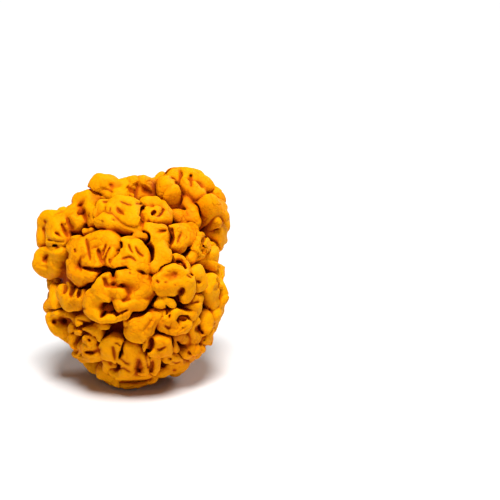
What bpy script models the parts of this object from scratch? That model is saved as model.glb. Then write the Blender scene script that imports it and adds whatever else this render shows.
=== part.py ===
"""Golden ear fungus: one fruiting body, grown as a single piece of crowded, curled folds.

It stands on the flat face where it was cut from its log. The front is laid out fold by fold; the sides,
back and crown are filled by a rule that scatters folds of the same kinds and sizes.

Frame: metres, +Z up, origin in the middle of the cut face. The front faces -Y.
"""

import math
import random

import bmesh
import bpy
import numpy as np
from mathutils import Matrix, Vector

MM = 0.001

# The body's middle over the middle of the cut face.
BODY_MIDDLE = (-1.5 * MM, -2.5 * MM, 34.0 * MM)
# The front leans back by this angle, so that it faces an eye a little above the table.
FRONT_LEAN = math.radians(15.0)
# The eye, in millimetres square to the front. Places of the front are where it sees them,
# measured at the depth of the body's middle.
EYE = (40.0, 10.0, 463.0)
# The plain rounded masses that carry the folds, in millimetres square to the front:
# (middle, half sizes), each as right, up and towards the eye.
BODY_MASSES = [
    ((1.0, -1.0, 0.0), (27.0, 30.5, 26.0)),
    ((15.0, 18.0, -5.0), (14.5, 15.5, 17.0)),
    ((-15.5, 13.0, 0.0), (11.5, 12.0, 13.0)),
]
# The solid flesh between the folds starts this far below the masses' surface.
CORE_DEPTH = 3.2 * MM
# A fold past the outline of the masses sits this share of a mass's half depth before its middle.
RIM_DEPTH_SHARE = 0.18

# Foot: the dense flesh that joined the body to the log, and the flat cut under it.
FOOT_RADIUS = 10.5 * MM
FOOT_HEIGHT = 14.0 * MM

# A fold bulges: its crest is this much lower at its own edge than in its middle.
FOLD_BULGE = 2.2 * MM
CREST_LIFT = 0.6 * MM
# The folds of the front are this much thicker than the lines they are laid out with.
SWELL = 1.18

# Folds made by rule: how far apart, how wide and how tall they are.
FOLD_SPACING = 10.2 * MM
FOLD_REACH = (4.9 * MM, 6.0 * MM)
FOLD_CREST = (3.8 * MM, 5.6 * MM)
FOLD_SEED = 41
FOLD_SHIFT = 0.04
FOLD_STRETCH = (0.78, 1.25)
FOLD_WANDER = 0.16
FOLD_THICKNESS = (0.95, 1.3)
FOOT_CLEARANCE = 4.0 * MM
# Behind the left shoulder, left of and above here, the folds made by rule are this much lower.
BEHIND_SHOULDER = (-12.0 * MM, 10.0 * MM)
BEHIND_SHOULDER_DROP = 2.6 * MM
BEHIND_SHOULDER_TURNED = -0.6
# Folds made by rule stay this far apart, as a share of their spacing, and out of the other masses.
FOLD_CROWDING = 0.62
FOLD_BURIED = 0.98

# The front's own folds cover the body where its skin turns at least this far towards the eye:
# at the right, at the left and over the crown, and elsewhere. Behind the right shoulder they end.
LAID_OUT_RIGHT = 0.42
LAID_OUT_LEFT_AND_CROWN = -0.1
LAID_OUT_ELSEWHERE = 0.16
RIGHT_FROM = 18.0 * MM
LEFT_FROM = -12.0 * MM
CROWN_FROM = 26.0 * MM
SHOULDER_FROM = (20.5 * MM, 5.0 * MM)

# Shapes of the folds made by rule, drawn in a circle of radius 1: (stroke radius, [points]).
FOLD_SHAPES = {
    "bun": [(0.62, [(-0.3, 0.0), (0.3, 0.1)])],
    "curl": [
        (0.42, [(0.5, -0.2), (0.4, 0.45), (-0.15, 0.55)]),
        (0.44, [(-0.5, 0.2), (-0.45, -0.35)]),
        (0.36, [(0.0, -0.55), (0.15, -0.1)]),
    ],
    "kidney": [
        (0.46, [(-0.5, -0.4), (-0.42, 0.42)]),
        (0.48, [(0.42, -0.5), (0.5, 0.1), (0.25, 0.52)]),
    ],
    "knuckles": [
        (0.38, [(-0.6, -0.5), (-0.52, 0.5)]),
        (0.4, [(0.0, -0.62), (0.05, 0.62)]),
        (0.37, [(0.6, -0.45), (0.56, 0.5)]),
    ],
    "mouth": [
        (0.42, [(-0.5, 0.45), (-0.55, -0.15)]),
        (0.44, [(-0.1, -0.55), (0.45, -0.4)]),
        (0.4, [(0.5, 0.15), (0.2, 0.55)]),
    ],
    "fan": [
        (0.36, [(-0.05, -0.66), (-0.62, 0.45)]),
        (0.34, [(0.0, -0.6), (-0.08, 0.68)]),
        (0.36, [(0.08, -0.66), (0.55, 0.45)]),
    ],
    "heart": [(0.5, [(-0.38, 0.32), (0.0, -0.45)]), (0.48, [(0.44, 0.34), (0.1, -0.4)])],
    "saddle": [(0.52, [(-0.48, 0.1), (0.0, -0.15), (0.5, 0.15)]), (0.34, [(-0.2, 0.58), (0.32, 0.6)])],
}

# Filling the folds with balls, and the skin round them.
BALL_SPACING_SHARE = 0.55
ROOT_TAPER = 0.88
THINNEST_ROOT = 0.8 * MM
SKIN_VOXEL = 0.6 * MM
SMOOTH_PASSES = 4
FACE_LIMIT = 9700
CREASE_REACH = 1.5 * MM
GROOVE_DEPTH = 1.5 * MM
GROOVE_REACH = 1.6 * MM

SKIN_COLOUR = (0.93, 0.42, 0.02, 1.0)
SKIN_ROUGHNESS = 0.62

# The folds of the front, in millimetres right of and above the middle of the front.
# name: (crest height over the plain body, [(radius, [points along the fold]), ...]), deepest folds first.
FRONT_FOLDS = {
    "shaded back fold": (-1.2, [(1.8, [(-8.6, -16.6), (-7.6, -16.4)])]),
    "right flank": (
        0.8,
        [
            (1.5, [(29.0, 3.0), (29.3, 0.0), (30.5, -2.6), (31.3, -4.8), (30.0, -6.6)]),
            (1.8, [(27.0, 1.3), (27.4, -1.8), (28.0, -4.4)]),
            (2.0, [(24.0, 6.5), (26.0, 4.5)]),
        ],
    ),
    "dark hollow wall": (
        -0.6,
        [
            (2.3, [(17.2, 28.2), (18.2, 25.5)]),
            (2.0, [(15.5, 21.5), (16.4, 19.5)]),
            (2.2, [(20.6, 22.6), (20.6, 19.6)]),
        ],
    ),
    "mouth floor": (1.0, [(2.0, [(-9.6, -11.4), (-7.6, -9.8), (-6.0, -8.4)])]),
    "under the jaw": (
        1.0,
        [
            (1.4, [(-20.0, -11.0), (-19.2, -12.8), (-18.8, -15.0), (-18.4, -16.6)]),
            (1.6, [(-17.0, -12.4), (-14.0, -12.4)]),
            (1.2, [(-16.6, -14.6), (-13.6, -14.8)]),
        ],
    ),
    "pinched fold": (
        2.8,
        [
            (1.5, [(12.6, -5.6), (13.4, -7.6), (14.2, -8.6)]),
            (1.3, [(10.9, -4.6), (11.5, -6.8), (12.5, -8.9)]),
            (1.2, [(14.6, -6.0), (15.0, -8.0)]),
        ],
    ),
    "shoulder back fold": (
        2.4,
        [
            (3.7, [(15.8, 33.4), (18.6, 33.6)]),
            (3.3, [(22.6, 33.4), (24.8, 31.0)]),
            (2.6, [(20.4, 30.0), (22.6, 28.0)]),
            (2.6, [(18.4, 31.4), (20.8, 32.6)]),
        ],
    ),
    "left edge fold": (
        2.0,
        [
            (1.9, [(-25.0, -3.4), (-25.2, -6.2)]),
            (1.6, [(-26.6, -8.6), (-24.0, -8.8)]),
        ],
    ),
    "right bend": (
        2.4,
        [
            (1.7, [(20.2, -6.4), (22.4, -6.2)]),
            (1.5, [(19.4, -8.9), (21.6, -9.0), (22.2, -9.6), (21.2, -11.2)]),
        ],
    ),
    "spur": (
        2.2,
        [
            (1.5, [(23.2, 13.2), (23.0, 11.4), (21.6, 9.2), (20.4, 7.6)]),
            (1.3, [(26.6, 12.4), (27.6, 10.2), (27.0, 8.6)]),
        ],
    ),
    "below the curl": (
        1.8,
        [
            (1.5, [(16.4, -18.3), (18.0, -19.4), (19.8, -20.0)]),
            (0.8, [(14.4, -19.3), (15.0, -21.2)]),
            (1.1, [(13.6, -22.0), (15.0, -22.7)]),
        ],
    ),
    "wedge": (
        3.2,
        [
            (1.5, [(9.2, -6.6), (9.4, -8.4)]),
            (1.4, [(7.2, -8.9), (9.4, -9.5), (11.3, -10.0)]),
        ],
    ),
    "crown": (
        2.8,
        [
            (4.2, [(-9.0, 31.4), (-7.6, 31.6)]),
            (3.0, [(-4.9, 29.9), (-2.2, 30.2)]),
            (3.3, [(-9.6, 29.0), (-8.4, 27.0)]),
            (2.8, [(-5.6, 27.6), (-2.6, 27.4)]),
            (3.3, [(-0.4, 31.2), (1.4, 31.5)]),
            (2.6, [(4.0, 32.0), (6.8, 31.8)]),
            (2.9, [(1.0, 28.4), (4.2, 28.6), (6.8, 27.6)]),
            (2.2, [(2.8, 30.4), (6.0, 29.8)]),
            (2.2, [(-2.8, 29.2), (-0.8, 28.6)]),
        ],
    ),
    "hood": (
        4.6,
        [
            (4.0, [(-1.2, 22.0), (0.4, 21.2), (-0.4, 18.9)]),
            (3.2, [(0.9, 18.8), (0.7, 19.4)]),
            (2.7, [(-3.0, 24.4), (1.2, 24.0)]),
            (2.6, [(-9.2, 18.9), (-6.2, 18.7)]),
            (2.3, [(-8.4, 23.8), (-8.8, 21.4)]),
            (2.2, [(-6.0, 21.4), (-5.4, 22.8)]),
        ],
    ),
    "right crown": (
        3.6,
        [
            (2.7, [(12.2, 31.6), (12.2, 29.8), (12.8, 28.6)]),
            (1.6, [(14.4, 30.6), (15.0, 29.8)]),
        ],
    ),
    "left shoulder and crown": (
        3.2,
        [
            (2.8, [(-26.6, 20.3), (-24.2, 20.2)]),
            (2.0, [(-28.4, 18.0), (-28.3, 15.0), (-28.2, 12.6)]),
            (2.4, [(-25.2, 16.8), (-22.6, 17.6)]),
            (1.6, [(-25.8, 14.5), (-23.4, 14.0), (-21.6, 13.6)]),
            (1.2, [(-26.2, 12.2), (-24.4, 12.0)]),
            (3.2, [(-16.0, 26.0), (-12.6, 26.8), (-9.8, 26.4)]),
            (2.4, [(-18.4, 23.4), (-20.6, 21.6), (-22.4, 19.8)]),
            (2.1, [(-13.2, 24.0), (-12.0, 21.2), (-11.6, 18.4)]),
            (2.5, [(-18.2, 19.9), (-17.2, 18.4)]),
        ],
    ),
    "left cheek": (
        3.8,
        [
            (3.8, [(-28.5, 4.8), (-26.2, 4.2), (-24.2, 5.0)]),
            (2.4, [(-28.6, 8.4), (-25.0, 8.8), (-22.6, 9.2)]),
        ],
    ),
    "left teeth": (
        2.8,
        [
            (2.2, [(-22.4, -3.2), (-22.2, -5.8), (-20.6, -7.2)]),
            (1.5, [(-20.3, -1.8), (-20.5, -4.6)]),
            (1.6, [(-17.8, -3.0), (-18.0, -5.6)]),
            (2.7, [(-19.6, -6.8), (-17.2, -7.2)]),
            (1.9, [(-15.6, -3.8), (-15.2, -6.0)]),
        ],
    ),
    "left pouch": (
        2.8,
        [
            (1.7, [(-25.4, -12.0), (-23.2, -11.8)]),
            (1.0, [(-26.3, -12.6), (-26.2, -14.4), (-25.4, -15.8)]),
            (1.9, [(-24.2, -16.5), (-21.9, -16.7)]),
        ],
    ),
    "left jaw top": (
        2.6,
        [
            (1.5, [(-16.9, -17.2), (-14.2, -16.9), (-12.2, -16.4)]),
            (0.8, [(-10.6, -16.8), (-9.7, -18.0), (-9.5, -19.4)]),
        ],
    ),
    "left jaw side": (
        2.7,
        [
            (1.6, [(-18.4, -19.6), (-18.2, -21.2)]),
            (1.3, [(-17.6, -22.2), (-17.0, -24.0)]),
        ],
    ),
    "left jaw ring": (
        3.0,
        [
            (1.2, [(-14.5, -20.9), (-14.2, -19.2), (-12.9, -18.6), (-11.7, -19.6), (-11.8, -20.8)]),
            (0.9, [(-13.2, -20.4), (-12.8, -20.8)]),
        ],
    ),
    "left jaw lip": (
        3.2,
        [
            (1.8, [(-15.8, -21.9), (-13.2, -21.7), (-11.0, -21.2)]),
            (1.6, [(-17.0, -24.4), (-15.6, -25.9), (-13.2, -25.8), (-11.2, -25.2), (-9.9, -24.3)]),
            (1.0, [(-14.8, -23.6), (-11.4, -23.5)]),
        ],
    ),
    "thin ledge": (1.9, [(0.9, [(-11.4, -15.1), (-9.0, -15.1), (-7.6, -15.2)])]),
    "right bell": (
        2.8,
        [
            (1.2, [(13.5, 17.2), (13.2, 14.4), (12.9, 11.6)]),
            (2.3, [(18.0, 15.8), (16.8, 13.0), (16.4, 11.6)]),
            (1.8, [(19.8, 16.6), (19.8, 14.0)]),
            (1.6, [(15.6, 17.0), (19.8, 17.0)]),
            (1.5, [(15.3, 15.8), (14.9, 12.2)]),
        ],
    ),
    "fork": (
        3.6,
        [
            (1.7, [(5.2, 16.8), (5.8, 15.0), (6.9, 12.8), (7.7, 11.2)]),
            (1.4, [(11.2, 16.0), (9.8, 13.8), (8.5, 11.6)]),
            (1.2, [(5.6, 17.1), (8.6, 17.3), (11.6, 17.5)]),
            (1.3, [(9.2, 15.0), (8.8, 13.6)]),
        ],
    ),
    "small back bead": (2.2, [(1.6, [(2.4, 14.8), (4.4, 14.0)])]),
    "pitted curl": (
        3.6,
        [
            (2.4, [(5.8, 25.4), (8.4, 25.4), (10.8, 24.6), (12.1, 22.6), (11.9, 21.0)]),
            (1.7, [(11.8, 20.9), (10.0, 20.5), (8.2, 20.6), (6.4, 21.4)]),
            (1.6, [(5.8, 23.0), (5.4, 21.2)]),
            (1.7, [(9.4, 23.2), (8.4, 22.0)]),
        ],
    ),
    "arch": (
        3.6,
        [
            (1.0, [(13.8, 7.1), (15.6, 7.7), (17.6, 7.1), (18.6, 5.2), (18.5, 3.0)]),
            (1.2, [(15.6, 5.4), (16.8, 4.6), (17.3, 3.4)]),
        ],
    ),
    "long ridge": (
        3.8,
        [
            (1.9, [(12.1, 15.0), (11.5, 11.8), (11.3, 8.6)]),
            (2.2, [(10.4, 8.2), (8.8, 5.8)]),
            (2.0, [(8.5, 5.2), (8.8, 2.8)]),
            (1.7, [(11.2, 6.8), (10.4, 4.8)]),
            (1.2, [(9.9, 9.4), (11.0, 11.4)]),
        ],
    ),
    "fork leg": (4.0, [(1.4, [(11.0, 15.8), (9.7, 13.6), (8.4, 11.2)])]),
    "knuckles": (
        4.4,
        [
            (2.7, [(-0.7, 11.4), (0.8, 10.0)]),
            (2.3, [(3.0, 10.4), (4.6, 8.8)]),
            (2.5, [(4.0, 6.6), (3.9, 4.6)]),
            (2.0, [(-3.6, 8.2), (0.6, 8.4)]),
            (1.9, [(-4.6, 5.8), (-1.4, 6.2), (1.8, 6.2)]),
            (2.0, [(-5.8, 4.7), (-3.8, 3.7), (-1.0, 3.2), (2.6, 2.8)]),
        ],
    ),
    "left middle": (
        4.2,
        [
            (3.0, [(-17.4, 11.6), (-15.4, 12.0)]),
            (3.1, [(-17.5, 6.4), (-17.6, 2.8), (-16.0, 1.2)]),
            (2.7, [(-14.0, 1.2), (-11.8, 1.4)]),
            (2.8, [(-15.4, 8.6), (-13.6, 6.2)]),
            (2.7, [(-12.8, 12.6), (-12.4, 9.4), (-11.8, 6.8)]),
            (1.7, [(-11.4, 5.4), (-9.4, 4.4)]),
            (2.9, [(-9.2, 13.0), (-6.6, 12.8)]),
            (2.5, [(-5.2, 11.2), (-5.4, 9.0)]),
            (2.5, [(-9.2, 10.6), (-8.6, 8.2)]),
            (1.9, [(-6.6, 8.0), (-7.2, 6.0)]),
        ],
    ),
    "knuckle skirt": (4.6, [(1.5, [(-5.3, 4.4), (-3.0, 3.9), (0.2, 3.7), (3.2, 3.4)])]),
    "small bright bead": (3.0, [(1.3, [(-14.9, 16.0), (-13.0, 16.4)])]),
    "right ear": (
        3.4,
        [
            (0.8, [(23.2, 3.9), (21.6, 2.7), (19.8, 1.7)]),
            (0.8, [(23.4, 3.8), (24.5, 1.0), (24.3, -1.6)]),
            (1.3, [(23.4, -2.2), (21.8, -2.8)]),
            (1.4, [(22.7, 1.2), (22.6, -0.8)]),
            (1.0, [(21.2, 1.0), (20.8, -0.6)]),
        ],
    ),
    "lower curl": (
        3.4,
        [
            (
                1.4,
                [(-8.0, -21.9), (-7.4, -20.5), (-5.6, -20.5), (-4.5, -21.8), (-4.1, -23.6), (-4.1, -25.8)],
            ),
            (1.2, [(-5.4, -19.7), (-3.8, -20.2), (-2.7, -21.4)]),
            (1.5, [(-6.6, -22.8), (-6.2, -25.2)]),
        ],
    ),
    "curl bead": (3.2, [(1.5, [(-7.7, -24.5), (-7.1, -25.0)])]),
    "curl foot": (
        2.8,
        [
            (1.4, [(-8.0, -27.0), (-7.2, -27.4), (-5.4, -27.6)]),
            (1.4, [(-7.8, -28.8), (-7.2, -30.2)]),
        ],
    ),
    "right lower ear": (
        3.0,
        [
            (2.2, [(24.6, -11.9), (25.0, -14.4)]),
            (1.4, [(21.9, -13.8), (21.5, -16.4), (22.0, -18.2), (24.0, -18.4)]),
            (1.2, [(21.3, -19.6), (23.0, -19.2)]),
            (1.5, [(25.0, -14.6), (25.3, -15.8)]),
        ],
    ),
    "curl ribbon": (
        4.2,
        [
            (2.0, [(11.2, -12.9), (11.1, -15.0), (12.8, -16.0), (14.8, -16.2)]),
            (1.6, [(13.2, -13.6), (14.8, -13.4)]),
            (
                1.3,
                [(14.2, -12.6), (14.6, -11.3), (16.1, -10.6), (17.8, -11.0), (19.4, -11.8), (20.8, -11.8)],
            ),
            (1.3, [(16.8, -16.2), (18.4, -16.4)]),
        ],
    ),
    "curl end": (4.0, [(1.9, [(17.8, -14.2), (18.5, -14.9)])]),
    "right round": (3.2, [(2.5, [(17.6, -23.6), (18.4, -24.0)]), (1.3, [(19.2, -25.8), (20.0, -25.0)])]),
    "right bun": (
        5.0,
        [
            (1.8, [(10.6, 1.0), (11.8, 2.9), (14.4, 3.6), (16.4, 2.8)]),
            (2.9, [(11.8, -2.0), (14.6, -2.4), (17.0, -0.2)]),
            (2.4, [(18.4, -1.4), (18.8, -3.8), (18.0, -6.0)]),
            (1.1, [(7.9, -0.3), (8.9, -1.9), (9.8, -3.4)]),
        ],
    ),
    "lower middle": (
        4.4,
        [
            (2.7, [(1.3, -13.1), (5.8, -12.9)]),
            (3.1, [(2.2, -15.6), (4.6, -15.8)]),
            (2.3, [(1.2, -17.6), (4.2, -17.9)]),
            (1.2, [(7.4, -11.6), (10.8, -11.4)]),
        ],
    ),
    "front flap": (
        4.8,
        [
            (2.5, [(8.8, -20.4), (11.0, -20.6)]),
            (1.0, [(6.0, -19.4), (5.4, -21.6), (5.3, -23.6)]),
            (2.1, [(7.6, -23.4), (10.2, -23.2), (11.6, -23.0)]),
        ],
    ),
    "front curl": (
        4.4,
        [
            (0.9, [(6.2, -25.6), (8.2, -25.6), (9.0, -27.2), (8.9, -29.0), (8.0, -30.8)]),
            (0.8, [(5.9, -26.6), (6.3, -28.6), (6.0, -30.0)]),
        ],
    ),
    "bottom right": (
        3.8,
        [
            (2.1, [(13.6, -26.2), (16.6, -27.3)]),
            (2.3, [(12.4, -29.4), (14.8, -29.2), (16.2, -28.6)]),
            (1.1, [(12.2, -24.6), (12.3, -26.4)]),
            (1.2, [(10.2, -30.4), (11.6, -30.8)]),
        ],
    ),
    "big bottom": (
        4.6,
        [
            (2.9, [(0.6, -22.2), (1.0, -24.6)]),
            (2.6, [(-1.6, -26.6), (-0.8, -28.8)]),
            (1.6, [(-5.6, -30.6), (-3.4, -31.4)]),
            (2.1, [(-2.4, -31.2), (1.4, -31.8), (5.0, -31.4)]),
            (1.5, [(4.4, -25.6), (4.9, -28.0), (4.8, -30.0)]),
            (1.4, [(1.6, -26.2), (3.0, -26.0)]),
            (1.3, [(-4.8, -33.2), (-1.2, -34.4), (2.0, -34.7), (5.0, -33.9), (7.8, -32.4)]),
        ],
    ),
    "centre knuckle": (
        5.4,
        [
            (3.9, [(3.6, -1.4), (4.2, -3.2), (3.2, -5.6)]),
            (2.3, [(-2.8, 0.4), (0.6, 0.8)]),
            (1.4, [(-3.8, 1.7), (-1.2, 2.0), (1.6, 2.0)]),
            (1.7, [(-2.6, -3.8), (-3.2, -6.0), (-3.0, -8.0)]),
            (2.4, [(-1.4, -7.7), (2.6, -7.2)]),
            (1.9, [(-9.8, -3.9), (-7.4, -5.0), (-4.8, -4.8)]),
            (1.6, [(-7.5, 1.5), (-9.1, -0.4), (-10.3, -2.6)]),
            (1.4, [(-5.9, -0.9), (-5.3, -2.2)]),
            (2.5, [(-12.0, -6.0), (-12.7, -8.2), (-12.5, -9.6)]),
            (1.3, [(-12.2, -11.4), (-9.6, -12.4), (-6.0, -12.6), (-3.2, -12.2), (-1.4, -11.4)]),
        ],
    ),
}

# Folds that run on without a crevice into the fold named after them.
JOINED_FOLDS = {
    "crown": "left shoulder and crown",
    "hood": "left shoulder and crown",
    "fork leg": "fork",
    "knuckle skirt": "knuckles",
}

# Hollows pressed into the front, in the same millimetres: (radius, depth, [points]).
FRONT_HOLLOWS = [
    (1.1, 1.8, [(-8.3, 0.2), (-7.7, -1.6), (-6.3, -2.3), (-4.4, -2.2), (-3.2, -1.8)]),
    (1.2, 3.8, [(17.1, -3.5), (16.6, -4.2)]),
    (1.5, 4.2, [(2.6, -26.8), (2.5, -28.8), (3.4, -30.0)]),
    (1.0, 3.4, [(7.4, -27.0), (7.5, -28.6), (7.2, -30.2)]),
    (1.1, 4.2, [(6.8, -19.4), (6.8, -21.4), (6.2, -23.4)]),
    (1.5, 6.5, [(10.2, -26.2), (10.8, -28.2)]),
    (1.3, 2.8, [(-17.0, 22.0), (-15.6, 22.4), (-14.6, 20.0), (-14.1, 17.4)]),
    (1.0, 2.6, [(-15.6, 4.1), (-12.4, 3.5), (-7.8, 3.3)]),
    (1.2, 2.8, [(-25.0, -14.3), (-23.6, -13.6), (-21.4, -13.6)]),
    (1.0, 2.6, [(-14.6, -23.6), (-12.0, -23.8), (-9.6, -22.9)]),
    (1.1, 3.2, [(-21.7, -1.8), (-22.0, -4.2)]),
    (1.1, 3.2, [(-19.0, -2.2), (-19.7, -4.8)]),
    (1.0, 2.4, [(16.0, -13.5), (17.3, -12.7), (19.0, -13.0), (20.2, -13.6)]),
    (1.1, 2.2, [(-20.6, 13.6), (-20.3, 12.2)]),
]


LEAN = Matrix.Rotation(math.pi / 2 - FRONT_LEAN, 3, "X")
MASSES = [(Vector(middle) * MM, Vector(half) * MM) for middle, half in BODY_MASSES]


def to_world(point):
    """A point given square to the front (right, up, towards the eye) in the part's own frame."""
    return LEAN @ Vector(point) + Vector(BODY_MIDDLE)


def share_of(mass, point):
    """How far out a point is in a mass: 1 on its surface, less inside."""
    middle, half = mass
    return Vector(((point[i] - middle[i]) / half[i] for i in range(3))).length


def body_normal(point):
    """The body's outward normal at a point on its surface, square to the front."""
    middle, half = min(MASSES, key=lambda mass: share_of(mass, point))
    return Vector(((point[i] - middle[i]) / half[i] ** 2 for i in range(3))).normalized()


def front_point(right, up, out):
    """The point seen at a place of the front, this far out from the body; past the outline, at the rim."""
    best = None
    for middle, half in MASSES:
        wide, high, deep = half.x + out, half.y + out, half.z + out
        inside = 1.0 - ((right - middle.x) / wide) ** 2 - ((up - middle.y) / high) ** 2
        if inside > RIM_DEPTH_SHARE**2:
            depth = middle.z + math.sqrt(inside) * deep
            best = depth if best is None else max(best, depth)
    if best is None:
        middle, half = min(
            MASSES,
            key=lambda mass: ((right - mass[0].x) / mass[1].x) ** 2 + ((up - mass[0].y) / mass[1].y) ** 2,
        )
        best = middle.z + RIM_DEPTH_SHARE * half.z
    nearer = best / EYE[2] / MM
    return Vector((right + (EYE[0] * MM - right) * nearer, up + (EYE[1] * MM - up) * nearer, best))


def onto_body(point):
    """A point beside the body, moved straight to or from the nearest mass's middle onto its surface."""
    mass = min(MASSES, key=lambda mass: share_of(mass, point))
    return mass[0] + (point - mass[0]) / share_of(mass, point)


def bulged(crest, strokes):
    """Each stroke's radius, points and heights of its middle line, lower towards the fold's own edge."""
    everything = [p for _, points in strokes for p in points]
    middle = sum(everything, Vector()) / len(everything)
    reach = max((p - middle).length + radius for radius, points in strokes for p in points)
    for radius, points in strokes:
        yield radius, points, [
            crest - radius - FOLD_BULGE * ((p - middle).length / reach) ** 2 for p in points
        ]


def front_folds():
    """Each stroke of the front's folds: (fold, radius, middle line, its heights, normals)."""
    for name, (crest, strokes) in FRONT_FOLDS.items():
        flat = [
            (SWELL * radius * MM, [Vector((right, up, 0.0)) * MM for right, up in places])
            for radius, places in strokes
        ]
        grown_with = JOINED_FOLDS.get(name, name)
        for radius, places, heights in bulged(crest * MM + CREST_LIFT, flat):
            line = [front_point(p.x, p.y, height) for p, height in zip(places, heights)]
            yield grown_with, radius, line, heights, [body_normal(p) for p in line]


def is_laid_out(point):
    """Whether the front's own folds already cover this point of the body."""
    if point.x > SHOULDER_FROM[0] and point.y > SHOULDER_FROM[1]:
        return False
    turned = LAID_OUT_RIGHT if point.x > RIGHT_FROM else LAID_OUT_ELSEWHERE
    if point.x < LEFT_FROM or point.y > CROWN_FROM:
        turned = LAID_OUT_LEFT_AND_CROWN
    return body_normal(point).z > turned


def fold_places():
    """Places spread evenly over the masses by the golden angle, where the front's own folds end."""
    chance = random.Random(FOLD_SEED)
    golden_turn = math.pi * (3.0 - math.sqrt(5.0))
    taken = []
    for mass in MASSES:
        middle, half = mass
        area = 4.0 * math.pi * (half.x * half.y * half.z) ** (2.0 / 3.0)
        count = round(area / (math.sqrt(0.75) * FOLD_SPACING**2))
        for i in range(count):
            up = 1.0 - 2.0 * (i + 0.5) / count
            ring = math.sqrt(1.0 - up * up)
            jitter = Vector([chance.uniform(-FOLD_SHIFT, FOLD_SHIFT) for _ in range(3)])
            direction = Vector((ring * math.cos(i * golden_turn), ring * math.sin(i * golden_turn), up))
            direction = (direction + jitter).normalized()
            place = middle + Vector((direction[k] * half[k] for k in range(3)))
            buried = any(share_of(other, place) < FOLD_BURIED for other in MASSES if other is not mass)
            crowded = any((place - other).length < FOLD_CROWDING * FOLD_SPACING for other in taken)
            if buried or crowded or is_laid_out(place) or to_world(place).z < FOOT_CLEARANCE:
                continue
            taken.append(place)
    return taken


def scattered_folds():
    """The strokes of the folds by rule over the sides, back, crown and underside."""
    chance = random.Random(FOLD_SEED + 1)
    for i, middle in enumerate(fold_places()):
        shape = FOLD_SHAPES[chance.choice(sorted(FOLD_SHAPES))]
        reach = chance.uniform(*FOLD_REACH)
        crest = chance.uniform(*FOLD_CREST)
        if middle.x < BEHIND_SHOULDER[0] and middle.y > BEHIND_SHOULDER[1]:
            if body_normal(middle).z > BEHIND_SHOULDER_TURNED:
                crest -= BEHIND_SHOULDER_DROP
        turn = chance.uniform(0.0, 2.0 * math.pi)
        normal = body_normal(middle)
        across = Matrix.Rotation(turn, 3, normal) @ normal.orthogonal().normalized()
        along = normal.cross(across)
        stretch = chance.uniform(*FOLD_STRETCH)
        placed = []
        for thickness, line in shape:
            points = []
            for x, y in line:
                x = x * stretch + chance.uniform(-FOLD_WANDER, FOLD_WANDER)
                y = y / stretch + chance.uniform(-FOLD_WANDER, FOLD_WANDER)
                points.append(onto_body(middle + (across * x + along * y) * reach))
            placed.append((thickness * reach * chance.uniform(*FOLD_THICKNESS), points))
        for radius, points, heights in bulged(crest, placed):
            normals = [body_normal(p) for p in points]
            line = [p + n * height for p, n, height in zip(points, normals, heights)]
            yield f"by rule {i}", radius, line, heights, normals


def balls_along(radius, line, heights, normals):
    """Middles and radii of the balls that fill one stroke, in rows from its crest down to the core."""
    for i in range(len(line) - 1):
        steps = max(1, math.ceil((line[i + 1] - line[i]).length / (BALL_SPACING_SHARE * radius)))
        for step in range(steps + 1):
            share = step / steps
            normal = normals[i].lerp(normals[i + 1], share).normalized()
            centre = line[i].lerp(line[i + 1], share)
            left = heights[i] + (heights[i + 1] - heights[i]) * share + CORE_DEPTH
            size = radius
            yield centre, size
            while left > 0.0:
                centre = centre - normal * size
                left -= size
                size = max(size * ROOT_TAPER, THINNEST_ROOT)
                yield centre, size


def ball_template():
    """The corners and faces of a unit ball."""
    shape = bmesh.new()
    bmesh.ops.create_icosphere(shape, subdivisions=2, radius=1.0)
    corners = [v.co.copy() for v in shape.verts]
    faces = [[v.index for v in f.verts] for f in shape.faces]
    shape.free()
    return corners, faces


def add_ball(corners, faces, template, stretch):
    """Appends a ball, stretched and placed by a function of its unit corners."""
    unit_corners, unit_faces = template
    first = len(corners)
    corners.extend(stretch(c) for c in unit_corners)
    faces.extend([first + i for i in face] for face in unit_faces)


def fold_balls():
    """Every ball of every fold: its fold's name, its middle in the part's own frame and its radius."""
    for name, *fold in [*front_folds(), *scattered_folds()]:
        for centre, radius in balls_along(*fold):
            yield name, to_world(centre), radius


def lumps_mesh(balls):
    """The body, its foot and every fold as overlapping closed shells in one mesh."""
    template = ball_template()
    corners, faces = [], []
    shape = bmesh.new()
    bmesh.ops.create_icosphere(shape, subdivisions=4, radius=1.0)
    round_body = [v.co.copy() for v in shape.verts], [[v.index for v in f.verts] for f in shape.faces]
    shape.free()
    for middle, half in MASSES:
        core = half - Vector((CORE_DEPTH, CORE_DEPTH, CORE_DEPTH))
        add_ball(corners, faces, round_body, lambda c: to_world(middle + c * core))
    foot_half = Vector((FOOT_RADIUS, FOOT_RADIUS, FOOT_HEIGHT))
    add_ball(corners, faces, round_body, lambda c: c * foot_half)
    for _, centre, radius in balls:
        add_ball(corners, faces, template, lambda c: centre + c * radius)
    mesh = bpy.data.meshes.new("lumps")
    mesh.from_pydata(corners, [], faces)
    return mesh


def skinned(mesh, smooth_passes):
    """One closed skin round all the lumps, smoothed if asked."""
    thing = bpy.data.objects.new("lumps", mesh)
    bpy.context.scene.collection.objects.link(thing)
    remesh = thing.modifiers.new("skin", "REMESH")
    remesh.mode = "VOXEL"
    remesh.voxel_size = SKIN_VOXEL
    if smooth_passes:
        smooth = thing.modifiers.new("smooth", "SMOOTH")
        smooth.factor = 0.5
        smooth.iterations = smooth_passes
    graph = bpy.context.evaluated_depsgraph_get()
    skin = bpy.data.meshes.new_from_object(thing.evaluated_get(graph))
    bpy.data.objects.remove(thing)
    return skin


def segment_distance(point, ends):
    """Distance from a point to a chain of straight segments."""
    nearest = math.inf
    for a, b in zip(ends, ends[1:]):
        along = b - a
        share = max(0.0, min(1.0, (point - a).dot(along) / along.length_squared))
        nearest = min(nearest, (point - a - along * share).length)
    return nearest


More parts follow.
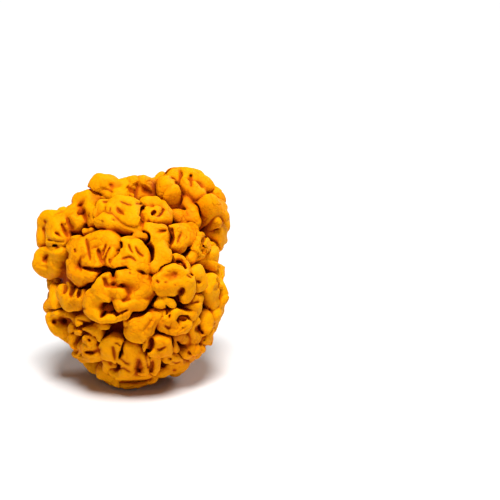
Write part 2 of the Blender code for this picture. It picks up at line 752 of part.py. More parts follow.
def part_folds(shape, balls):
    """Sinks the skin towards the body's middle along the line where one fold meets another."""
    names = sorted({name for name, _, _ in balls})
    number = {name: i for i, name in enumerate(names)}
    owner = np.array([number[name] for name, _, _ in balls])
    centres = np.array([tuple(centre) for _, centre, _ in balls])
    radii = np.array([radius for _, _, radius in balls])
    order = np.argsort(owner, kind="stable")
    starts = np.searchsorted(owner[order], np.arange(len(names)))
    for vertex in shape.verts:
        gaps = np.linalg.norm(centres - np.array(vertex.co), axis=1) - radii
        nearest = np.sort(np.minimum.reduceat(gaps[order], starts))[:2]
        apart = nearest[1] - nearest[0]
        if apart < GROOVE_REACH and nearest[0] < GROOVE_REACH:
            inward = (Vector(BODY_MIDDLE) - vertex.co).normalized()
            vertex.co += inward * GROOVE_DEPTH * (1.0 - apart / GROOVE_REACH) ** 2


def seen_place(point):
    """Where on the front the eye sees a point, measured at the depth of the body's middle."""
    nearer = point.z / EYE[2] / MM
    right = (point.x - EYE[0] * MM * nearer) / (1.0 - nearer)
    return Vector((right, (point.y - EYE[1] * MM * nearer) / (1.0 - nearer), 0.0))


def press_hollows(shape):
    """Pushes the skin in along each hollow of the front, straight back from the eye."""
    towards_eye = LEAN @ Vector((0.0, 0.0, 1.0))
    from_world = LEAN.transposed()
    lift = Vector(BODY_MIDDLE)
    shape.normal_update()
    facing = [(v, from_world @ (v.co - lift)) for v in shape.verts if v.normal.dot(towards_eye) > 0.1]
    seen = [(vertex, seen_place(place)) for vertex, place in facing if place.z > 0.0]
    for radius, depth, places in FRONT_HOLLOWS:
        ends = [Vector((right * MM, up * MM, 0.0)) for right, up in places]
        reach = radius * MM + CREASE_REACH
        for vertex, place in seen:
            distance = segment_distance(place, ends)
            if distance < reach:
                share = 1.0 - distance / reach
                vertex.co -= towards_eye * depth * MM * share * share * (3.0 - 2.0 * share)


def keep_largest_piece(shape):
    """Removes the small closed bubbles left between folds."""
    left, pieces = set(shape.verts), []
    while left:
        piece, front = set(), [left.pop()]
        while front:
            vertex = front.pop()
            piece.add(vertex)
            for edge in vertex.link_edges:
                other = edge.other_vert(vertex)
                if other in left:
                    left.discard(other)
                    front.append(other)
        pieces.append(piece)
    pieces.sort(key=len)
    loose = [v for piece in pieces[:-1] for v in piece]
    bmesh.ops.delete(shape, geom=loose, context="VERTS")


def cut_flat(shape):
    """Cuts the fungus off level at the table and closes the cut."""
    geometry = [*shape.verts, *shape.edges, *shape.faces]
    cut = bmesh.ops.bisect_plane(
        shape,
        geom=geometry,
        dist=1e-6,
        plane_co=(0.0, 0.0, 0.0),
        plane_no=(0.0, 0.0, 1.0),
        clear_inner=True,
    )
    rim = [item for item in cut["geom_cut"] if isinstance(item, bmesh.types.BMEdge)]
    bmesh.ops.holes_fill(shape, edges=rim, sides=0)
    bmesh.ops.triangulate(shape, faces=shape.faces)


def thinned(mesh, faces_wanted):
    """The mesh with fewer triangles, which keep its folds."""
    thing = bpy.data.objects.new("dense skin", mesh)
    bpy.context.scene.collection.objects.link(thing)
    thin = thing.modifiers.new("fewer faces", "DECIMATE")
    thin.ratio = faces_wanted / sum(len(p.vertices) - 2 for p in mesh.polygons)
    thin.use_collapse_triangulate = True
    graph = bpy.context.evaluated_depsgraph_get()
    result = bpy.data.meshes.new_from_object(thing.evaluated_get(graph))
    bpy.data.objects.remove(thing)
    return result


def skin_material():
    """Matt orange skin."""
    material = bpy.data.materials.new("fungus skin")
    material.use_nodes = True
    shader = material.node_tree.nodes["Principled BSDF"]
    shader.inputs["Base Color"].default_value = SKIN_COLOUR
    shader.inputs["Roughness"].default_value = SKIN_ROUGHNESS
    shader.inputs["Metallic"].default_value = 0.0
    return material


def make_fruiting_body():
    """The whole fungus as one closed solid."""
    balls = list(fold_balls())
    shape = bmesh.new()
    shape.from_mesh(skinned(lumps_mesh(balls), SMOOTH_PASSES))
    part_folds(shape, balls)
    press_hollows(shape)
    dented = bpy.data.meshes.new("dented")
    shape.to_mesh(dented)
    shape.free()
    shape = bmesh.new()
    shape.from_mesh(skinned(dented, SMOOTH_PASSES))
    keep_largest_piece(shape)
    dense = bpy.data.meshes.new("dense")
    shape.to_mesh(dense)
    shape.free()
    thin = thinned(dense, FACE_LIMIT)
    shape = bmesh.new()
    shape.from_mesh(thin)
    cut_flat(shape)
    keep_largest_piece(shape)
    mesh = bpy.data.meshes.new("fruiting_body")
    shape.to_mesh(mesh)
    shape.free()
    mesh.materials.clear()
    mesh.materials.append(skin_material())
    mesh.shade_smooth()
    fungus = bpy.data.objects.new("fruiting_body", mesh)
    bpy.context.scene.collection.objects.link(fungus)
    return fungus


def main():
    for thing in list(bpy.data.objects):
        bpy.data.objects.remove(thing)
    make_fruiting_body()


main()
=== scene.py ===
"""Golden ear fungus: the fruiting body dressed round its solid, as an add-on that builds it in one go.

The folds are grown in a field of distances, square to the front, and skinned as one closed surface.
"""

import math
import random

import bpy
import numpy as np
from bpy.props import FloatProperty, FloatVectorProperty, IntProperty, PointerProperty
from mathutils import Matrix, Vector


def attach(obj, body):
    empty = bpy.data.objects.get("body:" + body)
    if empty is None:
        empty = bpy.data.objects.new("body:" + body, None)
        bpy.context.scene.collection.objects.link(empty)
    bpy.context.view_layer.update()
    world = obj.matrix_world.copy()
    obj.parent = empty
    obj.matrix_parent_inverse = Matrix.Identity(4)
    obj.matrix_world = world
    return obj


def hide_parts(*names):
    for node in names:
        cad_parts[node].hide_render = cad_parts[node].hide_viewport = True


bl_info = {
    "name": "Golden Ear Fungus",
    "version": (1, 0, 0),
    "blender": (4, 5, 0),
    "location": "3D View > Sidebar > Fungus",
    "description": "Builds a dried golden ear fungus of crowded, curled folds, and a plain stage for it",
    "category": "Add Mesh",
}

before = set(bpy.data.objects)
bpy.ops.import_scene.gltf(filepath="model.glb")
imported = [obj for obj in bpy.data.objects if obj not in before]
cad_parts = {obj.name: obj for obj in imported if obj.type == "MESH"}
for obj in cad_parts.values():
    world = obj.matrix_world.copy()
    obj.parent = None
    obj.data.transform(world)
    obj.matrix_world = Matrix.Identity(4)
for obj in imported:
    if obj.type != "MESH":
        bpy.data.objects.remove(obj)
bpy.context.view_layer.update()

MM = 0.001

# The body's middle over the middle of the cut face.
BODY_MIDDLE = (-1.5 * MM, -2.5 * MM, 34.0 * MM)
# The front leans back by this angle, so that it faces an eye a little above the table.
FRONT_LEAN = math.radians(15.0)

# The camera's lens and sensor; a picture of 500 dots is 500 / 3 mm wide at the body's middle.
LENS = 100.0
SENSOR = 36.0

# From here to the mesh, everything is in millimetres square to the front: right, up, towards the eye.
# The eye. Places of the front are where it sees them, measured at the depth of the body's middle.
EYE = (40.0, 10.0, 463.0)
# The plain rounded masses that carry the folds: (middle, half sizes).
BODY_MASSES = [
    ((1.0, -1.0, 0.0), (27.0, 30.5, 26.0)),
    ((15.0, 18.0, -5.0), (14.5, 15.5, 17.0)),
    ((-15.5, 13.0, 0.0), (11.5, 12.0, 13.0)),
]
# Places past the outline lie this share of a mass's depth before its middle.
RIM_DEPTH_SHARE = 0.18
# The solid core starts this far under the masses' surface; the foot stands on the cut face.
CORE_DEPTH = 3.2
FOOT_RADIUS = 10.5
FOOT_HEIGHT = 14.0

# Folds made by rule: how far apart, how wide and how tall they are.
FOLD_SPACING = 10.2
FOLD_REACH = (4.9, 6.0)
FOLD_CREST = (3.8, 5.6)
FOLD_SEED = 41
FOLD_SHIFT = 0.04
# Closer than this share of the spacing is too close, and further in than this is inside another mass.
FOLD_CROWDING = 0.62
FOLD_BURIED = 0.98
# How far apart rows of evenly spread places are, over how far apart the places are.
ROW_SPACING = 0.866
FOOT_CLEARANCE = 4.0
# The front's own folds cover the body where it faces the eye more than this: at the right, at the left
# and the crown, and between them.
LAID_OUT_RIGHT = 0.42
LAID_OUT_LEFT_AND_CROWN = -0.1
LAID_OUT_ELSEWHERE = 0.16
# Where the right, the left and the crown begin.
RIGHT_FROM = 18.0
LEFT_FROM = -12.0
CROWN_FROM = 26.0
# Right of and above here the folds are made by rule, whichever way the body faces.
SHOULDER_FROM = (20.5, 5.0)
# Behind the left shoulder, left of and above here, the folds made by rule are this much lower.
BEHIND_SHOULDER = (-12.0, 10.0)
BEHIND_SHOULDER_DROP = 2.6
BEHIND_SHOULDER_TURNED = -0.6
# The front's crests are all raised by this.
CREST_LIFT = 0.6

# Shapes of the folds made by rule, drawn in a circle of radius 1: (stroke radius, [points]).
FOLD_SHAPES = {
    "bun": [(0.62, [(-0.3, 0.0), (0.3, 0.1)])],
    "curl": [
        (0.42, [(0.5, -0.2), (0.4, 0.45), (-0.15, 0.55)]),
        (0.44, [(-0.5, 0.2), (-0.45, -0.35)]),
        (0.36, [(0.0, -0.55), (0.15, -0.1)]),
    ],
    "kidney": [(0.46, [(-0.5, -0.4), (-0.42, 0.42)]), (0.48, [(0.42, -0.5), (0.5, 0.1), (0.25, 0.52)])],
    "knuckles": [
        (0.38, [(-0.6, -0.5), (-0.52, 0.5)]),
        (0.4, [(0.0, -0.62), (0.05, 0.62)]),
        (0.37, [(0.6, -0.45), (0.56, 0.5)]),
    ],
    "mouth": [
        (0.42, [(-0.5, 0.45), (-0.55, -0.15)]),
        (0.44, [(-0.1, -0.55), (0.45, -0.4)]),
        (0.4, [(0.5, 0.15), (0.2, 0.55)]),
    ],
    "fan": [
        (0.36, [(-0.05, -0.66), (-0.62, 0.45)]),
        (0.34, [(0.0, -0.6), (-0.08, 0.68)]),
        (0.36, [(0.08, -0.66), (0.55, 0.45)]),
    ],
    "heart": [(0.5, [(-0.38, 0.32), (0.0, -0.45)]), (0.48, [(0.44, 0.34), (0.1, -0.4)])],
    "saddle": [(0.52, [(-0.48, 0.1), (0.0, -0.15), (0.5, 0.15)]), (0.34, [(-0.2, 0.58), (0.32, 0.6)])],
}

# The folds of the front: name: (crest height over the body, [(radius, [places]), ...]), deepest first.
FRONT_FOLDS = {
    "shaded back fold": (-1.2, [(1.8, [(-8.6, -16.6), (-7.6, -16.4)])]),
    "right flank": (0.8, [
        (1.5, [(29.0, 3.0), (29.3, 0.0), (30.5, -2.6), (31.3, -4.8), (30.0, -6.6)]),
        (1.8, [(27.0, 1.3), (27.4, -1.8), (28.0, -4.4)]),
        (2.0, [(24.0, 6.5), (26.0, 4.5)]),
    ]),
    "dark hollow wall": (-0.6, [
        (2.3, [(17.2, 28.2), (18.2, 25.5)]),
        (2.0, [(15.5, 21.5), (16.4, 19.5)]),
        (2.2, [(20.6, 22.6), (20.6, 19.6)]),
    ]),
    "mouth floor": (1.0, [(2.0, [(-9.6, -11.4), (-7.6, -9.8), (-6.0, -8.4)])]),
    "under the jaw": (1.0, [
        (1.4, [(-20.0, -11.0), (-19.2, -12.8), (-18.8, -15.0), (-18.4, -16.6)]),
        (1.6, [(-17.0, -12.4), (-14.0, -12.4)]),
        (1.2, [(-16.6, -14.6), (-13.6, -14.8)]),
    ]),
    "pinched fold": (2.8, [
        (1.5, [(12.6, -5.6), (13.4, -7.6), (14.2, -8.6)]),
        (1.3, [(10.9, -4.6), (11.5, -6.8), (12.5, -8.9)]),
        (1.2, [(14.6, -6.0), (15.0, -8.0)]),
    ]),
    "shoulder back fold": (2.4, [
        (3.7, [(15.8, 33.4), (18.6, 33.6)]),
        (3.3, [(22.6, 33.4), (24.8, 31.0)]),
        (2.6, [(20.4, 30.0), (22.6, 28.0)]),
        (2.6, [(18.4, 31.4), (20.8, 32.6)]),
    ]),
    "left edge fold": (2.0, [(1.9, [(-25.0, -3.4), (-25.2, -6.2)]), (1.6, [(-26.6, -8.6), (-24.0, -8.8)])]),
    "right bend": (2.4, [
        (1.7, [(20.2, -6.4), (22.4, -6.2)]),
        (1.5, [(19.4, -8.9), (21.6, -9.0), (22.2, -9.6), (21.2, -11.2)]),
    ]),
    "spur": (2.2, [
        (1.5, [(23.2, 13.2), (23.0, 11.4), (21.6, 9.2), (20.4, 7.6)]),
        (1.3, [(26.6, 12.4), (27.6, 10.2), (27.0, 8.6)]),
    ]),
    "below the curl": (1.8, [
        (1.5, [(16.4, -18.3), (18.0, -19.4), (19.8, -20.0)]),
        (0.8, [(14.4, -19.3), (15.0, -21.2)]),
        (1.1, [(13.6, -22.0), (15.0, -22.7)]),
    ]),
    "wedge": (3.2, [(1.5, [(9.2, -6.6), (9.4, -8.4)]), (1.4, [(7.2, -8.9), (9.4, -9.5), (11.3, -10.0)])]),
    "crown": (2.8, [
        (4.0, [(-8.7, 31.4), (-7.8, 31.5)]),
        (2.8, [(-4.9, 29.6), (-2.2, 29.7)]),
        (3.3, [(-9.6, 29.0), (-8.4, 27.0)]),
        (2.8, [(-5.6, 27.6), (-2.6, 27.4)]),
        (3.3, [(-0.4, 31.2), (1.4, 31.5)]),
        (2.6, [(4.0, 32.0), (6.8, 31.8)]),
        (2.9, [(1.0, 28.4), (4.2, 28.6), (6.8, 27.6)]),
        (2.2, [(2.8, 30.4), (6.0, 29.8)]),
        (2.2, [(-2.8, 29.2), (-0.8, 28.6)]),
    ]),
    "hood": (4.6, [
        (4.0, [(-1.2, 22.0), (0.4, 21.2), (-0.4, 18.9)]),
        (3.2, [(0.9, 18.8), (0.7, 19.4)]),
        (2.7, [(-3.0, 24.4), (1.2, 24.0)]),
        (2.6, [(-9.2, 18.9), (-6.2, 18.7)]),
        (2.3, [(-8.4, 23.8), (-8.8, 21.4)]),
        (2.2, [(-6.0, 21.4), (-5.4, 22.8)]),
    ]),
    "right crown": (3.6, [
        (2.7, [(12.2, 31.6), (12.2, 29.8), (12.8, 28.6)]),
        (1.6, [(14.4, 30.6), (15.0, 29.8)]),
    ]),
    "left shoulder and crown": (3.2, [
        (2.8, [(-26.6, 20.3), (-24.2, 20.2)]),
        (2.0, [(-28.4, 18.0), (-28.3, 15.0), (-28.2, 12.6)]),
        (2.4, [(-25.2, 16.8), (-22.6, 17.6)]),
        (1.6, [(-25.8, 14.5), (-23.4, 14.0), (-21.6, 13.6)]),
        (1.2, [(-26.2, 12.2), (-24.4, 12.0)]),
        (3.2, [(-16.0, 26.0), (-12.6, 26.8), (-9.8, 26.4)]),
        (2.4, [(-18.4, 23.4), (-20.6, 21.6), (-22.4, 19.8)]),
        (2.1, [(-13.2, 24.0), (-12.0, 21.2), (-11.6, 18.4)]),
        (2.5, [(-18.2, 19.9), (-17.2, 18.4)]),
    ]),
    "left cheek": (3.8, [
        (3.8, [(-28.5, 4.8), (-26.2, 4.2), (-24.2, 5.0)]),
        (2.4, [(-28.6, 8.4), (-25.0, 8.8), (-22.6, 9.2)]),
    ]),
    "left teeth": (2.8, [
        (2.2, [(-22.4, -3.2), (-22.2, -5.8), (-20.6, -7.2)]),
        (1.5, [(-20.3, -1.8), (-20.5, -4.6)]),
        (1.6, [(-17.8, -3.0), (-18.0, -5.6)]),
        (2.7, [(-19.6, -6.8), (-17.2, -7.2)]),
        (1.9, [(-15.6, -3.8), (-15.2, -6.0)]),
    ]),
    "left pouch": (2.8, [
        (1.7, [(-25.4, -12.0), (-23.2, -11.8)]),
        (1.0, [(-26.3, -12.6), (-26.2, -14.4), (-25.4, -15.8)]),
        (1.9, [(-24.2, -16.5), (-21.9, -16.7)]),
    ]),
    "left jaw top": (2.6, [
        (1.5, [(-16.9, -17.2), (-14.2, -16.9), (-12.2, -16.4)]),
        (0.8, [(-10.6, -16.8), (-9.7, -18.0), (-9.5, -19.4)]),
    ]),
    "left jaw side": (2.7, [
        (1.6, [(-18.4, -19.6), (-18.2, -21.2)]),
        (1.3, [(-17.6, -22.2), (-17.0, -24.0)]),
    ]),
    "left jaw ring": (3.0, [
        (1.2, [(-14.5, -20.9), (-14.2, -19.2), (-12.9, -18.6), (-11.7, -19.6), (-11.8, -20.8)]),
        (0.9, [(-13.2, -20.4), (-12.8, -20.8)]),
    ]),
    "left jaw lip": (3.2, [
        (1.8, [(-15.8, -21.9), (-13.2, -21.7), (-11.0, -21.2)]),
        (1.6, [(-17.0, -24.4), (-15.6, -25.9), (-13.2, -25.8), (-11.2, -25.2), (-9.9, -24.3)]),
        (1.0, [(-14.8, -23.6), (-11.4, -23.5)]),
    ]),
    "thin ledge": (1.9, [(0.9, [(-11.4, -15.1), (-9.0, -15.1), (-7.6, -15.2)])]),
    "right bell": (2.8, [
        (1.2, [(13.5, 17.2), (13.2, 14.4), (12.9, 11.6)]),
        (2.3, [(18.0, 15.8), (16.8, 13.0), (16.4, 11.6)]),
        (1.8, [(19.8, 16.6), (19.8, 14.0)]),
        (1.6, [(15.6, 17.0), (19.8, 17.0)]),
        (1.5, [(15.3, 15.8), (14.9, 12.2)]),
    ]),
    "fork": (3.6, [
        (1.7, [(5.2, 16.8), (5.8, 15.0), (6.9, 12.8), (7.7, 11.2)]),
        (1.4, [(11.2, 16.0), (9.8, 13.8), (8.5, 11.6)]),
        (1.2, [(5.6, 17.1), (8.6, 17.3), (11.6, 17.5)]),
        (1.3, [(9.2, 15.0), (8.8, 13.6)]),
    ]),
    "small back bead": (2.2, [(1.6, [(2.4, 14.8), (4.4, 14.0)])]),
    "pitted curl": (3.6, [
        (2.4, [(5.8, 25.4), (8.4, 25.4), (10.8, 24.6), (12.1, 22.6), (11.9, 21.0)]),
        (1.7, [(11.8, 20.9), (10.0, 20.5), (8.2, 20.6), (6.4, 21.4)]),
        (1.6, [(5.8, 23.0), (5.4, 21.2)]),
        (1.7, [(9.4, 23.2), (8.4, 22.0)]),
    ]),
    "arch": (3.6, [
        (1.0, [(13.8, 7.1), (15.6, 7.7), (17.6, 7.1), (18.6, 5.2), (18.5, 3.0)]),
        (1.2, [(15.6, 5.4), (16.8, 4.6), (17.3, 3.4)]),
    ]),
    "long ridge": (3.8, [
        (1.9, [(12.1, 15.0), (11.5, 11.8), (11.3, 8.6)]),
        (2.2, [(10.4, 8.2), (8.8, 5.8)]),
        (2.0, [(8.5, 5.2), (8.8, 2.8)]),
        (1.7, [(11.2, 6.8), (10.4, 4.8)]),
        (1.2, [(9.9, 9.4), (11.0, 11.4)]),
    ]),
    "fork leg": (4.0, [(1.4, [(11.0, 15.8), (9.7, 13.6), (8.4, 11.2)])]),
    "knuckles": (4.4, [
        (2.7, [(-0.7, 11.4), (0.8, 10.0)]),
        (2.3, [(3.0, 10.4), (4.6, 8.8)]),
        (2.5, [(4.0, 6.6), (3.9, 4.6)]),
        (2.0, [(-3.6, 8.2), (0.6, 8.4)]),
        (1.9, [(-4.6, 5.8), (-1.4, 6.2), (1.8, 6.2)]),
        (2.0, [(-5.8, 4.7), (-3.8, 3.7), (-1.0, 3.2), (2.6, 2.8)]),
    ]),
    "left middle": (4.2, [
        (3.0, [(-17.4, 11.6), (-15.4, 12.0)]),
        (3.1, [(-17.5, 6.4), (-17.6, 2.8), (-16.0, 1.2)]),
        (2.7, [(-14.0, 1.2), (-11.8, 1.4)]),
        (2.8, [(-15.4, 8.6), (-13.6, 6.2)]),
        (2.7, [(-12.8, 12.6), (-12.4, 9.4), (-11.8, 6.8)]),
        (1.7, [(-11.4, 5.4), (-9.4, 4.4)]),
        (2.9, [(-9.2, 13.0), (-6.6, 12.8)]),
        (2.5, [(-5.2, 11.2), (-5.4, 9.0)]),
        (2.5, [(-9.2, 10.6), (-8.6, 8.2)]),
        (1.9, [(-6.6, 8.0), (-7.2, 6.0)]),
    ]),
    "knuckle skirt": (4.6, [(1.9, [(-5.4, 3.7), (-3.0, 3.1), (0.2, 3.0), (3.0, 3.0)])]),
    "small bright bead": (3.0, [(1.3, [(-14.9, 16.0), (-13.0, 16.4)])]),
    "right ear": (3.4, [
        (0.8, [(23.2, 3.9), (21.6, 2.7), (19.8, 1.7)]),
        (0.8, [(23.4, 3.8), (24.5, 1.0), (24.3, -1.6)]),
        (1.3, [(23.4, -2.2), (21.8, -2.8)]),
        (1.4, [(22.7, 1.2), (22.6, -0.8)]),
        (1.0, [(21.2, 1.0), (20.8, -0.6)]),
    ]),
    "lower curl": (3.4, [
        (1.4, [(-8.0, -21.9), (-7.4, -20.5), (-5.6, -20.5), (-4.5, -21.8), (-4.1, -23.6), (-4.1, -25.8)]),
        (1.2, [(-5.4, -19.7), (-3.8, -20.2), (-2.7, -21.4)]),
        (1.5, [(-6.6, -22.8), (-6.2, -25.2)]),
    ]),
    "curl bead": (3.2, [(1.5, [(-7.7, -24.5), (-7.1, -25.0)])]),
    "curl foot": (2.8, [
        (1.4, [(-8.0, -27.0), (-7.2, -27.4), (-5.4, -27.6)]),
        (1.4, [(-7.8, -28.8), (-7.2, -30.2)]),
    ]),
    "right lower ear": (3.0, [
        (2.2, [(24.6, -11.9), (25.0, -14.4)]),
        (1.4, [(21.9, -13.8), (21.5, -16.4), (22.0, -18.2), (24.0, -18.4)]),
        (1.2, [(21.3, -19.6), (23.0, -19.2)]),
        (1.5, [(25.0, -14.6), (25.3, -15.8)]),
    ]),
    "curl ribbon": (4.2, [
        (2.0, [(11.2, -12.9), (11.1, -15.0), (12.8, -16.0), (14.8, -16.2)]),
        (1.6, [(13.2, -13.6), (14.8, -13.4)]),
        (1.3, [(14.2, -12.6), (14.6, -11.3), (16.1, -10.6), (17.8, -11.0), (19.4, -11.8), (20.8, -11.8)]),
        (1.3, [(16.8, -16.2), (18.4, -16.4)]),
    ]),
    "curl end": (4.0, [(1.9, [(17.8, -14.2), (18.5, -14.9)])]),
    "right round": (3.2, [(2.5, [(17.6, -23.6), (18.4, -24.0)]), (1.3, [(19.2, -25.8), (20.0, -25.0)])]),
    "right bun": (5.0, [
        (1.8, [(10.6, 1.0), (11.8, 2.9), (14.4, 3.6), (16.4, 2.8)]),
        (2.9, [(11.8, -2.0), (14.6, -2.4), (17.0, -0.2)]),
        (2.4, [(18.4, -1.4), (18.8, -3.8), (18.0, -6.0)]),
        (1.1, [(7.9, -0.3), (8.9, -1.9), (9.8, -3.4)]),
    ]),
    "lower middle": (4.4, [
        (2.7, [(1.3, -13.1), (5.8, -12.9)]),
        (3.1, [(2.2, -15.6), (4.6, -15.8)]),
        (2.3, [(1.2, -17.6), (4.2, -17.9)]),
        (1.2, [(7.4, -11.6), (10.8, -11.4)]),
    ]),
    "front flap": (4.8, [
        (2.5, [(8.8, -20.4), (11.0, -20.6)]),
        (1.0, [(6.0, -19.4), (5.4, -21.6), (5.3, -23.6)]),
        (2.1, [(7.6, -23.4), (10.2, -23.2), (11.6, -23.0)]),
    ]),
    "front curl": (4.4, [
        (0.9, [(6.2, -25.6), (8.2, -25.6), (9.0, -27.2), (8.9, -29.0), (8.0, -30.8)]),
        (0.8, [(5.9, -26.6), (6.3, -28.6), (6.0, -30.0)]),
    ]),
    "bottom right": (3.8, [
        (2.1, [(13.6, -26.2), (16.6, -27.3)]),
        (2.3, [(12.4, -29.4), (14.8, -29.2), (16.2, -28.6)]),
        (1.1, [(12.2, -24.6), (12.3, -26.4)]),
        (1.2, [(10.2, -30.4), (11.6, -30.8)]),
    ]),
    "big bottom": (4.6, [
        (2.9, [(0.6, -22.2), (1.0, -24.6)]),
        (2.6, [(-1.6, -26.6), (-0.8, -28.8)]),
        (1.6, [(-5.6, -30.6), (-3.4, -31.4)]),
        (2.1, [(-2.4, -31.2), (1.4, -31.8), (5.0, -31.4)]),
        (1.5, [(4.4, -25.6), (4.9, -28.0), (4.8, -30.0)]),
        (1.4, [(1.6, -26.2), (3.0, -26.0)]),
        (1.3, [(-4.8, -33.2), (-1.2, -34.4), (2.0, -34.7), (5.0, -33.9), (7.8, -32.4)]),
    ]),
    "centre knuckle": (5.4, [
        (3.9, [(3.6, -1.4), (4.2, -3.2), (3.2, -5.6)]),
        (2.3, [(-2.8, 0.4), (0.6, 0.8)]),
        (1.4, [(-3.8, 1.7), (-1.2, 2.0), (1.6, 2.0)]),
        (1.7, [(-2.6, -3.8), (-3.2, -6.0), (-3.0, -8.0)]),
        (2.4, [(-1.4, -7.7), (2.6, -7.2)]),
        (1.9, [(-9.8, -3.9), (-7.4, -5.0), (-4.8, -4.8)]),
        (1.6, [(-7.5, 1.5), (-9.1, -0.4), (-10.3, -2.6)]),
        (1.4, [(-5.9, -0.9), (-5.3, -2.2)]),
        (2.5, [(-12.0, -6.0), (-12.7, -8.2), (-12.5, -9.6)]),
        (1.3, [(-12.2, -11.4), (-9.6, -12.4), (-6.0, -12.6), (-3.2, -12.2), (-1.4, -11.4)]),
    ]),
}

# Folds that run on into the ones before them, without a crevice.
JOINED_FOLDS = ("crown", "hood", "fork leg", "knuckle skirt")

# Hollows pressed into the front: (radius, depth, [places]).
FRONT_HOLLOWS = [
    (0.65, 4.2, [(-5.8, -7.2), (-5.2, -9.2), (-4.6, -10.6), (-3.8, -11.2)]),
    (0.7, 2.4, [(-3.9, -11.2), (-2.4, -10.8), (-0.6, -10.0)]),
    (0.9, 4.4, [(-8.5, -10.2), (-9.8, -12.2)]),
    (1.1, 1.8, [(-8.3, 0.2), (-7.7, -1.6), (-6.3, -2.3), (-4.4, -2.2), (-3.2, -1.8)]),
    (1.4, 1.6, [(-5.9, 1.4), (-5.8, -0.6), (-5.4, -1.6)]),
    (1.0, 1.5, [(-3.0, -1.7), (-1.3, -2.5), (-0.3, -4.6), (-0.7, -6.3), (-1.8, -7.1)]),
    (1.2, 3.8, [(17.1, -3.5), (16.6, -4.2)]),
    (1.8, 0.8, [(11.4, 1.4), (14.6, 1.9)]),
    (0.7, 1.6, [(-26.8, 13.4), (-24.6, 13.1), (-21.6, 12.9)]),
    (0.8, 1.8, [(-24.6, 15.9), (-23.0, 14.9), (-20.6, 13.5)]),
    (0.8, 1.6, [(-22.8, 18.6), (-21.6, 16.6), (-20.6, 14.6)]),
    (1.9, 4.2, [(2.7, -27.0), (2.7, -28.8), (3.4, -29.8)]),
    (1.0, 3.4, [(7.4, -27.0), (7.5, -28.6), (7.2, -30.2)]),
    (1.1, 4.2, [(6.8, -19.4), (6.8, -21.4), (6.2, -23.4)]),
    (1.5, 6.5, [(10.2, -26.2), (10.8, -28.2)]),
    (1.3, 2.8, [(-17.0, 22.0), (-15.6, 22.4), (-14.6, 20.0), (-14.1, 17.4)]),
    (1.3, 1.6, [(-10.3, 24.4), (-10.8, 21.4)]),
    (0.6, 3.0, [(7.6, 22.0), (8.4, 22.9)]),
    (0.8, 1.2, [(0.3, 31.0), (1.8, 30.2)]),
    (0.7, 2.6, [(-15.4, 4.0), (-12.4, 3.5), (-7.8, 3.3)]),
    (0.8, 1.8, [(-11.0, 9.8), (-10.4, 8.2), (-9.4, 6.0), (-7.8, 4.1)]),
    (1.2, 2.8, [(-25.0, -14.3), (-23.6, -13.6), (-21.4, -13.6)]),
    (1.0, 2.6, [(-14.6, -23.6), (-12.0, -23.8), (-9.6, -22.9)]),
    (0.9, 2.0, [(23.3, -15.2), (23.4, -16.6), (24.8, -17.7)]),
    (0.9, 1.6, [(20.2, 35.0), (20.4, 31.6)]),
    (1.1, 3.2, [(-21.7, -1.8), (-22.0, -4.2)]),
    (1.1, 3.2, [(-19.0, -2.2), (-19.7, -4.8)]),
    (0.8, 2.2, [(-16.9, -3.8), (-17.1, -5.6)]),
    (0.6, 1.6, [(16.2, -13.6), (17.3, -12.9), (18.6, -13.3)]),
    (0.8, 1.8, [(-5.6, -22.6), (-5.3, -26.2)]),
    (0.8, 1.2, [(8.0, 13.4), (8.0, 15.5), (9.5, 16.6), (12.2, 16.9)]),
    (0.6, 2.0, [(14.4, 17.2), (14.2, 14.0), (13.4, 10.8)]),
    (0.9, 1.8, [(-20.8, 20.2), (-20.3, 18.5), (-19.0, 16.8), (-17.3, 15.2)]),
    (0.8, 1.1, [(-27.4, 10.6), (-26.0, 9.8), (-23.2, 11.0)]),
    (1.1, 2.2, [(-20.6, 13.6), (-20.3, 12.2)]),
    (0.6, 1.0, [(1.8, 31.7), (3.0, 32.0), (4.5, 31.2), (7.5, 29.2)]),
    (0.7, 1.0, [(2.8, 21.6), (4.0, 22.2), (4.5, 20.5), (3.9, 16.5)]),
]

